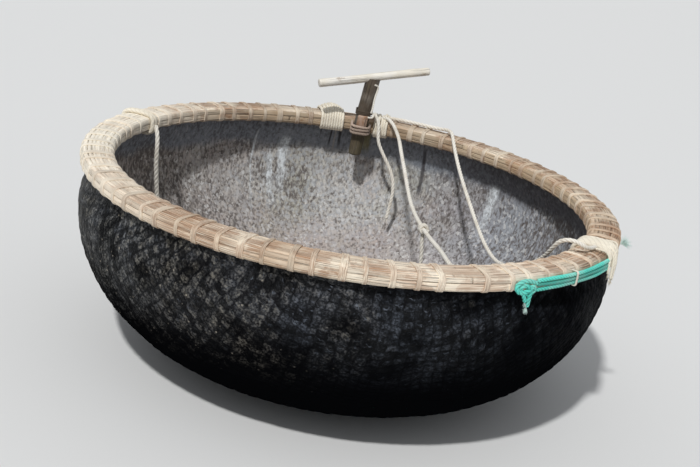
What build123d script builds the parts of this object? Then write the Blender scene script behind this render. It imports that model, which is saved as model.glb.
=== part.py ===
# Round basket boat: a woven bamboo shell sealed with tar, its edge clamped between
# bent bamboo hoops, with an oar post, a crossbar and mooring ropes on the rim.
# Units are millimetres and degrees. +Z is up, +Y runs towards the oar post, and the
# origin is the middle of the flat foot that the boat stands on.
import os
from math import atan, cos, degrees, radians, sin, tan

from build123d import *

os.makedirs("parts", exist_ok=True)

# Overall sizes
boat_breadth = 2000
hull_breadth = 1980
wall_thickness = 12
foot_radius = 300
widest_height = 550

# Rim, measured on its section
rim_width = 115
rim_height = 58
rim_mid_height = 710
rim_side_round = 17
rim_crown = 7
splint_groove_radius = 2.4
lashing_thickness = 3.5
wall_from_outside = 38
seat_gap = 0.3

rim_radius = boat_breadth / 2 - lashing_thickness - rim_width / 2
wall_outer_radius = boat_breadth / 2 - wall_from_outside
wall_inner_radius = wall_outer_radius - wall_thickness
rim_bottom = rim_mid_height - rim_height / 2
rim_top = rim_mid_height + rim_height / 2
hoop_top = rim_top - 14
neck_height = rim_bottom - 17


# Hull profile: a flat foot, three hollow-side arcs up to the widest line, then a
# shoulder and a neck that tuck the wall in under the rim
foot_arc_radius = 900
foot_arc_turn = 24
bilge_turn = 38
shoulder_share = 0.6


def hull_arcs():
    """Radius and turn of each arc of the outer profile, from the foot up."""
    a1 = radians(foot_arc_turn)
    a2 = radians(foot_arc_turn + bilge_turn)
    reach = hull_breadth / 2 - foot_radius - foot_arc_radius * sin(a1)
    rise = widest_height - foot_arc_radius * (1 - cos(a1))
    # two unknown radii, bilge and side, that end upright at the widest line
    p, q, s, t = sin(a2) - sin(a1), 1 - sin(a2), cos(a1) - cos(a2), cos(a2)
    bilge_radius = (reach * t - q * rise) / (p * t - q * s)
    side_radius = (p * rise - reach * s) / (p * t - q * s)
    tuck = hull_breadth / 2 - wall_outer_radius
    lift = neck_height - widest_height
    lean = 2 * degrees(atan(tuck / lift))
    both = lift / sin(radians(lean))
    return [
        (foot_arc_radius, foot_arc_turn),
        (bilge_radius, bilge_turn),
        (side_radius, 90 - foot_arc_turn - bilge_turn),
        (both * shoulder_share, lean),
        (both * (1 - shoulder_share), -lean),
    ]


def draw_wall(inset):
    """Profile from the axis to the top edge, inset from the outer face."""
    end = Line((0, inset), (foot_radius, inset))
    heading = 0
    for radius, turn in hull_arcs():
        size = radius - inset if turn > 0 else radius + inset
        way = (cos(radians(heading)), sin(radians(heading)))
        end = JernArc(start=end @ 1, tangent=way, radius=size, arc_size=turn)
        heading += turn
    return Line(end @ 1, (wall_outer_radius - inset, hoop_top))


with BuildPart() as basket_hull:
    with BuildSketch(Plane.XZ):
        with BuildLine():
            outer = draw_wall(0)
            inner = draw_wall(wall_thickness)
            Line(outer @ 1, inner @ 1)
            Line((0, 0), (0, wall_thickness))
        make_face()
    revolve(axis=Axis.Z)
basket_hull.part.label = "basket_hull"


# Rim section: an oval with a crowned top, drawn about the rim's middle
def rim_outline(grow):
    """The rim's whole section, grown by a distance."""
    half = rim_width / 2 + grow
    low = rim_bottom - grow
    high = rim_top + grow
    with BuildSketch() as outline:
        with BuildLine():
            Polyline(
                (rim_radius - half, high - rim_crown),
                (rim_radius - half, low),
                (rim_radius + half, low),
                (rim_radius + half, high - rim_crown),
            )
            ThreePointArc(
                (rim_radius - half, high - rim_crown),
                (rim_radius, high),
                (rim_radius + half, high - rim_crown),
            )
        make_face()
        fillet(outline.vertices(), rim_side_round + grow)
    return outline.sketch


# The hoops are split bamboo laid side by side: where two splints meet, a groove runs
# round the rim, given by its middle's distance from the rim's middle, across and up
splint_grooves = [
    (6.5, 29.7),
    (36, 27.1),
    (56.9, 15),
    (58.3, -2),
    (53.1, -24.6),
    (36, -29.8),
]
inner_bottom_grooves = [(-19, -29.8), (-2, -29.8)]


def grooved_outline():
    """The rim's section with the grooves between its splints."""
    both_sides = [(side * across, up) for across, up in splint_grooves for side in (-1, 1)]
    with BuildSketch() as section:
        add(rim_outline(0))
        for across, up in both_sides + inner_bottom_grooves:
            with Locations((rim_radius + across, rim_mid_height + up)):
                Circle(splint_groove_radius, mode=Mode.SUBTRACT)
    return section.sketch


# name, inner radius, outer radius, bottom and top of the window that the piece
# fills in the rim's outline
rim_bundles = [
    ("inner_hoop", 0, wall_inner_radius, 0, hoop_top),
    ("outer_hoop", wall_outer_radius, boat_breadth, 0, hoop_top),
    ("inner_cap_splint", 0, rim_radius - 20, hoop_top, boat_breadth),
    ("middle_cap_splint", rim_radius - 19, rim_radius + 19, hoop_top, boat_breadth),
    ("outer_cap_splint", rim_radius + 20, boat_breadth, hoop_top, boat_breadth),
]

rim_pieces = []
for name, inside, outside, bottom, top in rim_bundles:
    with BuildPart() as bundle:
        with BuildSketch(Plane.XZ):
            add(grooved_outline())
            with Locations(((inside + outside) / 2, (bottom + top) / 2)):
                Rectangle(outside - inside, top - bottom, mode=Mode.INTERSECT)
        revolve(axis=Axis.Z)
    bundle.part.label = name
    rim_pieces.append(bundle)


# Bands round the rim
def band_section(grow, thickness):
    """A C round the rim's section, open where it meets both faces of the wall."""
    wall_middle = (wall_outer_radius + wall_inner_radius) / 2
    with BuildSketch() as section:
        add(rim_outline(grow + thickness))
        add(rim_outline(grow), mode=Mode.SUBTRACT)
        with Locations((wall_middle, rim_bottom)):
            Rectangle(wall_thickness + 2 * seat_gap, 3 * thickness, mode=Mode.SUBTRACT)
    return section.sketch


def radial_plane(angle):
    """X runs outwards at the angle, Y up."""
    a = radians(angle)
    return Plane(origin=(0, 0, 0), x_dir=(cos(a), sin(a), 0), z_dir=(sin(a), -cos(a), 0))


def bands(name, angles, width, grow, thickness, ends=()):
    """One node of bands of equal width, at the angles of a list, cut to rope ends."""
    with BuildPart() as band:
        with BuildSketch(Plane.XZ):
            add(band_section(grow, thickness))
        extrude(amount=width / 2, both=True)
    with BuildPart() as node:
        with Locations(*[Location((0, 0, 0), (0, 0, a)) for a in angles]):
            add(band.part)
        for end in ends:
            add(end.part, mode=Mode.SUBTRACT)
    node.part.label = name
    return node


# places on the rim that something else takes, as first and last angle
taken = [
    (-69.8, -66.2),  # knot of the crossing rope
    (-45.0, -42.2),  # tie of the green line
    (-31.0, -21.6),  # white turns at the corner
    (81.6, 90.8),  # rope hitch and oar post
    (91.2, 101.0),  # rope wrap
    (154.2, 157.8),  # hitch of the side rope
]
lashing_count = 78
lashing_drift = 0.45
lashing_widths = (14, 20, 17, 24)


def lashing_angles(kind):
    """Every fourth lashing's angle, unevenly spaced, less the places taken."""
    found = []
    for i in range(kind, lashing_count, len(lashing_widths)):
        angle = -180 + 360 * i / lashing_count + lashing_drift * sin(2.7 * i)
        if not any(first < angle < last for first, last in taken):
            found.append(angle)
    return found


lashing_groups = []
for kind, width in enumerate(lashing_widths):
    name = f"rim_lashings_{kind + 1}"
    angles = lashing_angles(kind)
    lashing_groups.append(bands(name, angles, width, seat_gap / 2, lashing_thickness - seat_gap / 2))


# Ropes: runs that hang or lie free, each corner an arc as large as its runs allow
arc_share = 0.45


def corner_radii(points):
    """The radius at each inner point of a route."""
    radii = []
    for before, here, after in zip(points, points[1:], points[2:]):
        way_in = Vector(*here) - Vector(*before)
        way_out = Vector(*after) - Vector(*here)
        turn = radians(way_in.get_angle(way_out))
        radii.append(arc_share * min(way_in.length, way_out.length) / tan(turn / 2))
    return radii


def cord(name, diameter, points):
    """A tube along a route of straight runs and tangent arcs."""
    radii = corner_radii(points)
    with BuildPart() as tube:
        with BuildLine() as route:
            path = FilletPolyline(*points, radius=radii)
        with BuildSketch(Plane(origin=path @ 0, z_dir=path % 0)):
            Circle(diameter / 2)
        sweep()
    tube.part.label = name
    share = tube.part.volume / (path.length * 3.14159 * diameter**2 / 4)
    print(f"{name}: {path.length:.0f} long, tightest arc {min(radii):.0f}, volume share {share:.3f}")
    return tube


rope_diameter = 14
side_rope_diameter = 16
tail_diameter = 12

hanging_route = [
    (82, 848, 782),
    (104, 842, 758),
    (113, 829, 718),
    (117, 819, 668),
    (146, 812, 620),
    (180, 806, 572),
    (209, 799, 520),
    (219, 795, 462),
    (216, 795, 400),
    (211, 796, 340),
]
crossing_route = [
    (119.6, 909.1, 746.3),
    (141, 883, 762),
    (161, 850, 757),
    (174, 809, 749),
    (184, 758, 740),
    (192, 692, 733),
    (197, 607, 725),
    (200, 500, 716),
    (215, 360, 682),
    (226, 230, 652),
    (236, 100, 632),
    (250, -40, 627),
    (262, -160, 633),
    (272, -280, 645),
    (284, -410, 661),
    (296, -540, 680),
    (303, -650, 696),
    (306, -730, 706),
    (317.3, -785.3, 708),
]
tail_route = [
    (268, -222, 618),
    (270, -223, 586),
    (277, -226, 546),
    (280, -226, 506),
    (276, -226, 470),
]
corner_route = [
    (124.6, 949.8, 746.3),
    (196, 934, 751),
    (284, 908, 752),
    (366, 872, 753),
    (424, 822, 766),
    (430, 752, 740),
    (446, 664, 690),
    (466, 558, 644),
    (488, 444, 603),
    (510, 330, 566),
    (532, 212, 530),
    (556, 90, 502),
    (580, -34, 496),
    (603, -154, 524),
    (626, -270, 569),
    (648, -380, 627),
    (666, -464, 686),
    (677, -504, 732),
    (688, -521, 762),
    (704, -531, 776),
    (725, -539, 782),
    (747, -544, 780),
    (767, -542, 771),
    (786, -531, 761),
    (811, -499, 753),
    (830.2, -466, 747.5),
]
side_route = [
    (-787.2, 359.1, 706.5),
    (-778, 348, 687),
    (-772, 339, 660),
    (-769, 335, 620),
    (-767, 342, 566),
    (-761, 358, 498),
    (-752, 380, 422),
    (-743, 400, 342),
    (-733, 421, 264),
]

hanging_rope = cord("hanging_rope", rope_diameter, hanging_route)
crossing_rope = cord("crossing_rope", rope_diameter, crossing_route)
rope_tail = cord("rope_tail", tail_diameter, tail_route)
corner_rope = cord("corner_rope", rope_diameter, corner_route)
side_rope = cord("side_rope", side_rope_diameter, side_route)

# Rope turns round the rim: name, angle of the middle, turns, rope diameter, and the
# ropes whose ends they are cut to
rope_turns = [
    ("rope_hitch", 83.4, 2, 14, [crossing_rope, corner_rope]),
    ("rim_wrap", 96.0, 9, 12, []),
    ("side_rope_hitch", 156.0, 2, 16, [side_rope]),
    ("corner_lashing", -26.2, 6, 16, [corner_rope]),
]
turn_gap = 0.6


def turn_angles(middle, count, thick):
    """Angles of turns laid side by side, a gap apart at their inner side."""
    step = degrees((thick + turn_gap) / (rim_radius - rim_width / 2 - thick))
    return [middle + step * (i - (count - 1) / 2) for i in range(count)]


rope_turn_nodes = []
for name, middle, count, thick, ends in rope_turns:
    angles = turn_angles(middle, count, thick)
    rope_turn_nodes.append(bands(name, angles, thick, seat_gap, thick, ends))


# Oar post, in a plane whose X runs along the rim, Y outwards and Z up
post_angle = 87.7
post_back_radius = rim_radius - rim_width / 2 - seat_gap
# height, drift along the rim, radius of the post's rings
post_rings = [
    (588, -7, 27),
    (735, 0, 30),
    (926, 19, 31),
]
post_centre_radius = post_back_radius - 30
bar_radius = 16
bar_length = 500
bar_left_share = 0.49
bar_height = 936
bar_drift = 20
bar_yaw = 22
bar_tilt = 10.5
peg_radius = 4.5
peg_length = 74
peg_proud = 0.5

a = radians(post_angle)
post_plane = Plane(
    origin=(post_centre_radius * cos(a), post_centre_radius * sin(a), 0),
    x_dir=(sin(a), -cos(a), 0),
    z_dir=(0, 0, 1),
)
bar_way_local = Vector(
    cos(radians(bar_yaw)) * cos(radians(bar_tilt)),
    sin(radians(bar_yaw)) * cos(radians(bar_tilt)),
    sin(radians(bar_tilt)),
)
bar_seat = post_plane.from_local_coords(Vector(bar_drift, 0, bar_height))
bar_way = post_plane.from_local_coords(bar_way_local) - post_plane.from_local_coords(Vector(0, 0, 0))
bar_start = bar_seat - bar_way * bar_length * bar_left_share
bar_end = bar_start + bar_way * bar_length
bar_plane = Plane(origin=bar_start, z_dir=bar_way)
side_way = Vector(0, 0, 1).cross(bar_way).normalized()
peg_way = bar_way.cross(side_way)
peg_top = bar_seat + peg_way * (bar_radius + peg_proud)
peg_plane = Plane(origin=peg_top, z_dir=-peg_way)

with BuildPart() as oar_post:
    for height, drift, radius in post_rings:
        centre = post_plane.from_local_coords(Vector(drift, 0, height))
        with BuildSketch(Plane(origin=centre, z_dir=(0, 0, 1))):
            Circle(radius)
    loft()
    chamfer(oar_post.faces().sort_by(Axis.Z)[0].edges(), 4)
    with BuildSketch(bar_plane):
        Circle(bar_radius + seat_gap / 2)
    extrude(amount=bar_length, mode=Mode.SUBTRACT)
    with BuildSketch(peg_plane):
        Circle(peg_radius)
    extrude(amount=peg_length, mode=Mode.SUBTRACT)
oar_post.part.label = "oar_post"

with BuildPart() as crossbar:
    with BuildSketch(bar_plane):
        Circle(bar_radius)
    extrude(amount=bar_length)
    ends = crossbar.faces().sort_by(lambda f: f.area)[:2]
    chamfer([edge for face in ends for edge in face.edges()], 1.5)
    with BuildSketch(peg_plane):
        Circle(peg_radius)
    extrude(amount=peg_length, mode=Mode.SUBTRACT)
crossbar.part.label = "crossbar"

with BuildPart() as crossbar_peg:
    with BuildSketch(peg_plane):
        Circle(peg_radius)
    extrude(amount=peg_length)
    chamfer(crossbar_peg.faces().sort_by(Axis.Z)[-1].edges(), 1.2)
crossbar_peg.part.label = "crossbar_peg"

# A wedge driven down behind the lashing, hollowed to the post it lies on
wedge_width = 44
wedge_low = 684
wedge_high = 768
wedge_thin = 9
wedge_thick = 17
wedge_bed = 12

with BuildPart() as post_wedge:
    with BuildSketch(post_plane.offset(wedge_low)):
        with Locations((0, -27 - wedge_thin / 2 + wedge_bed / 2)):
            Rectangle(wedge_width, wedge_thin + wedge_bed)
    with BuildSketch(post_plane.offset(wedge_high)):
        with Locations((4, -27 - wedge_thick / 2 + wedge_bed / 2)):
            Rectangle(wedge_width, wedge_thick + wedge_bed)
    loft()
    add(oar_post.part, mode=Mode.SUBTRACT)
post_wedge.part.label = "post_wedge"

# Turns of rope round the post and its wedge, with their ends on the inner hoop
post_turn_heights = (694, 708, 722)
post_turn_rope = 12
post_turn_half = 44
post_turn_reach = 58
post_turn_slope = 14
post_turn_back = 29.3


def post_turn_outline(inset):
    """The ground that a turn encloses, its back on the inner hoop."""
    half = post_turn_half - inset
    reach = post_turn_reach - inset
    with BuildSketch() as outline:
        with BuildLine():
            Polyline(
                (-half, post_turn_back),
                (-half, -reach + post_turn_slope),
                (-half + post_turn_slope, -reach),
                (half - post_turn_slope, -reach),
                (half, -reach + post_turn_slope),
                (half, post_turn_back),
                close=True,
            )
        make_face()
    return outline.sketch


with BuildPart() as post_lashing:
    for height in post_turn_heights:
        with BuildSketch(post_plane.offset(height - post_turn_rope / 2)):
            add(post_turn_outline(0))
            add(post_turn_outline(post_turn_rope), mode=Mode.SUBTRACT)
        extrude(amount=post_turn_rope)
post_lashing.part.label = "post_lashing"


# A ring of rope round the post above the rim, which the hanging rope leaves
post_hitch_low = 768
post_hitch_high = 792
post_hitch_radius = 44

with BuildPart() as post_hitch:
    hitch_centre = post_plane.from_local_coords(Vector(4, 0, post_hitch_low))
    with BuildSketch(Plane(origin=hitch_centre, z_dir=(0, 0, 1))):
        Circle(post_hitch_radius)
    extrude(amount=post_hitch_high - post_hitch_low)
    fillet(post_hitch.edges().filter_by(GeomType.CIRCLE), 8)
    add(oar_post.part, mode=Mode.SUBTRACT)
    add(post_wedge.part, mode=Mode.SUBTRACT)
    add(hanging_rope.part, mode=Mode.SUBTRACT)
post_hitch.part.label = "post_hitch"


# The knot that the crossing rope runs through, flat below where the tail leaves it
knot_centre = (267.3, -222, 639.5)
knot_way = (0.083, -0.99, 0.099)
knot_radius = 21
knot_half_length = 24
knot_round = 13
knot_flat = 618

with BuildPart() as rope_knot:
    with BuildSketch(Plane(origin=knot_centre, z_dir=knot_way)):
        Circle(knot_radius)
    extrude(amount=knot_half_length, both=True)
    fillet(rope_knot.edges().filter_by(GeomType.CIRCLE), knot_round)
    with Locations((knot_centre[0], knot_centre[1], knot_flat - knot_radius)):
        Box(4 * knot_radius, 4 * knot_radius, 2 * knot_radius, mode=Mode.SUBTRACT)
    add(crossing_rope.part, mode=Mode.SUBTRACT)
rope_knot.part.label = "rope_knot"

# The knot under the near rim that ends the crossing rope
near_knot_angle = -68
near_knot_size = (44, 34, 40)
near_knot_height = 708
near_knot_round = 9

b = radians(near_knot_angle)
near_knot_reach = post_back_radius - near_knot_size[1] / 2
near_knot_plane = Plane(
    origin=(near_knot_reach * cos(b), near_knot_reach * sin(b), near_knot_height),
    x_dir=(sin(b), -cos(b), 0),
    z_dir=(0, 0, 1),
)
with BuildPart(near_knot_plane) as near_knot:
    Box(*near_knot_size)
    inner_edges = near_knot.edges().filter_by(Axis.Z).sort_by(lambda e: e.center().length)[:2]
    fillet(inner_edges, near_knot_round)
    add(crossing_rope.part, mode=Mode.SUBTRACT)
near_knot.part.label = "near_knot"

# Green line along the outside of the rim: a knot, three strands and their tie
green_diameter = 14
green_radius = 1008.7
green_heights = (719, 704.5, 690)
green_angles = (-54.2, -49.0, -43.8, -38.6, -33.6, -29.35)

green_strands = []
for number, height in enumerate(green_heights):
    places = [(green_radius * cos(radians(g)), green_radius * sin(radians(g)), height) for g in green_angles]
    green_strands.append(cord(f"green_strand_{number + 1}", green_diameter, places))

green_tie_angle = -43.6
green_tie_width = 9
green_tie_thickness = 3
green_clear = green_radius + green_diameter / 2 + 0.5
green_low = green_heights[2] - green_diameter / 2 - 0.5
green_high = green_heights[0] + green_diameter / 2 + 0.5

with BuildPart() as green_tie:
    with BuildSketch(radial_plane(green_tie_angle)):
        tie_middle = (green_low + green_high) / 2
        tie_tall = green_high - green_low
        with Locations((green_clear, tie_middle)):
            Rectangle(80, tie_tall + 2 * green_tie_thickness)
        with Locations((green_clear + green_tie_thickness, tie_middle)):
            Rectangle(80, 3 * tie_tall, align=(Align.MIN, Align.CENTER), mode=Mode.SUBTRACT)
        with Locations((green_clear, tie_middle)):
            Rectangle(90, tie_tall, align=(Align.MAX, Align.CENTER), mode=Mode.SUBTRACT)
        add(rim_outline(seat_gap), mode=Mode.SUBTRACT)
    extrude(amount=green_tie_width / 2, both=True)
green_tie.part.label = "green_tie"

green_knot_angle = -57.2
green_knot_depth = 26
g = radians(green_knot_angle)
knot_plane = Plane(
    origin=((boat_breadth / 2 + seat_gap) * cos(g), (boat_breadth / 2 + seat_gap) * sin(g), 0),
    x_dir=(-sin(g), cos(g), 0),
    z_dir=(cos(g), sin(g), 0),
)
with BuildPart() as green_knot:
    with BuildSketch(knot_plane):
        with BuildLine():
            Polyline(
                (-46, 700),
                (-30, 726),
                (6, 730),
                (47, 722),
                (47, 680),
                (32, 664),
                (30, 628),
                (12, 626),
                (10, 652),
                (-14, 662),
                close=True,
            )
        make_face()
    extrude(amount=green_knot_depth)
green_knot.part.label = "green_knot"

pieces = [basket_hull, *rim_pieces, *lashing_groups, *rope_turn_nodes]
pieces += [oar_post, crossbar, crossbar_peg, post_wedge, post_lashing, post_hitch]
pieces += [hanging_rope, crossing_rope, rope_tail, corner_rope, side_rope]
pieces += [rope_knot, near_knot, *green_strands, green_tie, green_knot]
for piece in pieces:
    export_step(piece.part, f"parts/{piece.part.label}.step")
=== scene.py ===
import math

import bpy
import numpy as np
from mathutils import Matrix, Vector


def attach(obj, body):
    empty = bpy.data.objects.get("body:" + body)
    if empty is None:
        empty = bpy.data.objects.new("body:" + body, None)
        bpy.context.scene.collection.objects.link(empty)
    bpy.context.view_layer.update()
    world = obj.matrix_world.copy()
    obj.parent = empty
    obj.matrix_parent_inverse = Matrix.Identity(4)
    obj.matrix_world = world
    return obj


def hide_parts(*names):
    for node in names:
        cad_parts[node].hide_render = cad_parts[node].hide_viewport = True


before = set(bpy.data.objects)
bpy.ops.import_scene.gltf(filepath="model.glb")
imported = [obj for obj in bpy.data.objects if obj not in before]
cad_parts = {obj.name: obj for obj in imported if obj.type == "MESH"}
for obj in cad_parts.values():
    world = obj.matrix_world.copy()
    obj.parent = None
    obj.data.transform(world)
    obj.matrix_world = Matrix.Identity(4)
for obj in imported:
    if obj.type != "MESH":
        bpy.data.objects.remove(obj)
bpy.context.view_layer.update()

scene = bpy.context.scene
tau = 2 * math.pi
mm = 0.001
up = np.array([0, 0, 1.0])

# Camera: in front of the boat, a little above it, leaning as the photo does
cameraView = {
    "place": (-0.2361, -4.7485, 2.0832), "ahead": (0.05152, 0.9478, -0.31468), "up": (-0.15313, 0.31887, 0.93535),
    "lens": 68.4, "sensor": 36.0,
}


def addObject(name, data):
    thing = bpy.data.objects.new(name, data)
    scene.collection.objects.link(thing)
    return thing


def makeCamera():
    ahead = Vector(cameraView["ahead"]).normalized()
    right = ahead.cross(Vector(cameraView["up"])).normalized()
    data = bpy.data.cameras.new("camera")
    data.lens, data.sensor_width = cameraView["lens"], cameraView["sensor"]
    camera = addObject("camera", data)
    turn = Matrix((right, right.cross(ahead), -ahead)).transposed().to_4x4()
    camera.matrix_world = Matrix.Translation(cameraView["place"]) @ turn
    scene.camera = camera


makeCamera()
print("camera placed")


# Small sums that many pieces share
def ring(count):
    # angles of that many points, evenly round a circle
    return tau * np.arange(count) / count


def gridOf(u, v):
    # every pair of one value from each list
    return np.stack(np.meshgrid(u, v, indexing="ij"), -1)


def unit(ways):
    # the same directions with length one
    return ways / np.linalg.norm(ways, axis=-1, keepdims=True)


def squarish(values, power):
    # sines or cosines raised to a power below one, which squares off the circle they draw
    return np.sign(values) * np.abs(values) ** power


def join(*arrays):
    return np.concatenate(arrays)


def polar(r, turn, z):
    # places from the distance to the boat's axis, the angle round it and the height
    return np.stack(np.broadcast_arrays(r * np.cos(turn), r * np.sin(turn), z), -1)


def bell(away, size, power=2):
    # one at the middle, falling off smoothly within about the size
    return np.exp(-(away / size) ** power)


def apart(turn, degrees):
    # angle from a place on the rim, between -180 and 180
    return (np.degrees(turn) - degrees + 180) % 360 - 180


def bump(turn, degrees, size, power=2):
    # a bell round a place on the rim
    return bell(apart(turn, degrees), size, power)


def rimWays(degrees):
    # outwards, and along the rim towards larger angles
    cos, sin = math.cos(math.radians(degrees)), math.sin(math.radians(degrees))
    return np.array([cos, sin, 0]), np.array([-sin, cos, 0])


def waves(turn, seed, count=9, lowest=2):
    # a sum of sine waves round the boat, with whole numbers of waves so that it closes
    random = np.random.default_rng(seed)
    number = lowest + np.arange(count) * 2 + random.integers(0, 2, count)
    strength = random.uniform(0.4, 1.0, count) / np.sqrt(1 + np.arange(count))
    shift = random.uniform(0, tau, count)
    return (strength * np.sin(np.multiply.outer(turn, number) + shift)).sum(-1) / strength.sum()


# Meshes: each surface is a grid of places, held as arrays until its piece is made
def closeEnds(part, places):
    # a fan at each end of a tube, from the middle of its ring
    rows, columns = places.shape[:2]
    here = np.arange(columns)
    after = (here + 1) % columns
    base, last = rows * columns, (rows - 1) * columns
    start = np.stack([np.full(columns, base), after, here], -1)
    end = np.stack([np.full(columns, base + 1), last + here, last + after], -1)
    disc = 0.01 * np.stack([np.cos(ring(columns)), np.sin(ring(columns))], -1)
    fan = np.stack([np.zeros((columns, 2)), disc[after], disc[here]], 1)
    part["tris"], part["triUv"] = join(start, end), join(fan, fan)
    part["verts"] = join(part["verts"], places[:1].mean(1), places[-1:].mean(1))
    for key in ("tone", "relief"):
        part[key] = join(part[key], part[key][:1], part[key][-1:])


def turnOutwards(part):
    # six times the volume under every triangle is negative when the faces point inwards
    v, q, t = part["verts"], part["quads"], part["tris"]
    three = join(q[:, [0, 1, 2]], q[:, [0, 2, 3]], t)
    if np.einsum("ij,ij->i", v[three[:, 0]], np.cross(v[three[:, 1]], v[three[:, 2]])).sum() < 0:
        for key in ("quads", "tris", "quadUv", "triUv"):
            part[key] = part[key][:, ::-1]


def gridPart(places, uv=None, tone=0.5, relief=1.0, closeRows=False):
    # rings of places, rows x columns, become the quads of a tube
    rows, columns = places.shape[:2]
    i = np.arange(rows if closeRows else rows - 1)[:, None]
    j = np.arange(columns)[None, :]
    i2, j2 = (i + 1) % rows, (j + 1) % columns
    quads = np.stack([a * columns + b for a, b in ((i, j), (i, j2), (i2, j2), (i2, j))], -1).reshape(-1, 4)
    if uv is None:
        uv = gridOf(np.arange(rows + 1), np.arange(columns + 1)) * 0.01
    corner = np.stack([uv[i, j], uv[i, j + 1], uv[i + 1, j + 1], uv[i + 1, j]], -2).reshape(-1, 4, 2)
    part = {"verts": places.reshape(-1, 3), "quads": quads, "quadUv": corner,
            "tris": np.zeros((0, 3), int), "triUv": np.zeros((0, 3, 2))}
    for key, value in (("tone", tone), ("relief", relief)):
        part[key] = np.broadcast_to(value, (rows, columns)).ravel()
    if not closeRows:
        closeEnds(part, places)
    turnOutwards(part)
    return part


def joinParts(parts):
    joined = {key: np.concatenate([p[key] for p in parts]) for key in ("verts", "quadUv", "triUv", "tone", "relief")}
    starts = np.cumsum([0] + [len(p["verts"]) for p in parts[:-1]])
    for key in ("quads", "tris"):
        joined[key] = np.concatenate([p[key] + start for p, start in zip(parts, starts)])
    return joined


def makePiece(name, parts, material, replaces=()):
    part = joinParts(parts)
    quads, tris = part["quads"], part["tris"]
    mesh = bpy.data.meshes.new(name)
    mesh.vertices.add(len(part["verts"]))
    mesh.vertices.foreach_set("co", part["verts"].astype(np.float32).ravel())
    mesh.loops.add(quads.size + tris.size)
    mesh.loops.foreach_set("vertex_index", join(quads.ravel(), tris.ravel()).astype(np.int32))
    starts = join(4 * np.arange(len(quads)), quads.size + 3 * np.arange(len(tris)))
    mesh.polygons.add(len(starts))
    mesh.polygons.foreach_set("loop_start", starts.astype(np.int32))
    uv = join(part["quadUv"].reshape(-1, 2), part["triUv"].reshape(-1, 2))
    mesh.uv_layers.new(name="alongAcross").data.foreach_set("uv", uv.astype(np.float32).ravel())
    for key in ("tone", "relief"):
        mesh.attributes.new(key, "FLOAT", "POINT").data.foreach_set("value", part[key].astype(np.float32))
    mesh.update(calc_edges=True)
    mesh.shade_smooth()
    mesh.materials.append(material)
    piece = addObject(name, mesh)
    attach(piece, "root")
    if replaces:
        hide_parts(*replaces)
    return piece


def alongLine(line):
    # distance from the line's start to each of its points
    return join([0], np.cumsum(np.linalg.norm(np.diff(line, axis=0), axis=1)))


def lineFrames(line, flat=None):
    # side and normal at each point, square to the line and to a direction given, or to its own flattest one
    ahead = unit(np.gradient(line, axis=0))
    if flat is None:
        flat = np.linalg.svd(line - line.mean(0))[2][2]
    side = unit(np.cross(ahead, flat))
    return side, np.cross(ahead, side)


def carried(line, radius, turn, side, normal):
    # circles carried along the line: its place, plus the radius times cosine and sine along side and normal
    cos, sin = np.cos(turn)[..., None], np.sin(turn)[..., None]
    return line[:, None] + radius[..., None] * (cos * side[:, None] + sin * normal[:, None])


def routeLine(name, route, step):
    # the smooth line that a rope's route in millimetres gives, with points a step apart: a spline with the
    # route's points as its control points
    curve = bpy.data.curves.new(name, "CURVE")
    curve.dimensions = "3D"
    curve.resolution_u = 24
    spline = curve.splines.new("NURBS")
    spline.points.add(len(route) - 1)
    for point, place in zip(spline.points, route):
        point.co = (*(value * mm for value in place), 1)
    spline.order_u = 3
    spline.use_endpoint_u = True
    holder = bpy.data.objects.new(name, curve)
    mesh = bpy.data.meshes.new_from_object(holder)
    line = np.zeros(len(mesh.vertices) * 3)
    mesh.vertices.foreach_get("co", line)
    line = line.reshape(-1, 3)
    bpy.data.objects.remove(holder)
    bpy.data.meshes.remove(mesh)
    bpy.data.curves.remove(curve)
    far = alongLine(line)
    at = np.linspace(0, far[-1], max(4, int(round(far[-1] / step)) + 1))
    return np.stack([np.interp(at, far, line[:, k]) for k in range(3)], -1)


def ropePart(line, diameter, lay, seed, groove=0.24, tone=0.5, flat=None):
    # a laid rope: a circle with one rounded lobe for each of three strands, which turns once in a lay,
    # carried along the line; its thickness and colour drift a little on the way
    strands = 3
    far = alongLine(line)
    around = ring(6 * strands)
    lobe = np.abs(np.cos(strands * around / 2))
    radius = diameter / 2 * (1 - groove * (1 - lobe) ** 1.3)
    shift = np.random.default_rng(seed).uniform(0, tau, 3)
    drift = 0.5 * np.sin(far / 0.11 + shift[0]) + 0.5 * np.sin(far / 0.043 + shift[1])
    angle = around + tau * (far / (lay * diameter))[:, None]
    size = radius * (1 + 0.035 * drift)[:, None]
    places = carried(line, size, angle, *lineFrames(line, flat))
    uv = gridOf(np.append(far, far[-1] + 0.003), np.append(around, tau) * diameter / 2)
    tones = np.clip(tone + 0.18 * drift, 0, 1)[:, None]
    return gridPart(places, uv, tones, np.broadcast_to(lobe, size.shape))


def frayPart(line, back, length, wide, count, seed, thick=0.0006):
    # loose fibres at a line's end: thin tapered tubes that bend away from its last direction
    random = np.random.default_rng(seed)
    ahead = unit(line[-1] - line[-1 - back])
    sideways = unit(np.cross(ahead, [0.3, 0.5, 0.8]))
    other = np.cross(ahead, sideways)
    parts = []
    t = np.linspace(0, 1, 6)[:, None]
    for _ in range(count):
        turn = random.uniform(0, tau)
        out = np.cos(turn) * sideways + np.sin(turn) * other
        reach = length * random.uniform(0.5, 1.1)
        sag = random.uniform(-0.4, 0.8) * reach
        fibre = line[-1] + reach * t * ahead + wide * random.uniform(0.2, 1) * t ** 1.6 * out
        fibre = fibre - 0.25 * sag * t ** 2 * up
        side, normal = lineFrames(fibre + 1e-5 * random.normal(size=fibre.shape))
        places = carried(fibre, thick * (1 - 0.8 * t), ring(4)[None], side, normal)
        parts.append(gridPart(places, tone=0.75))
    return parts


# Shader nodes: small makers, then the groups that several finishes share
now = {}        # the tree that nodes are being put into


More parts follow.
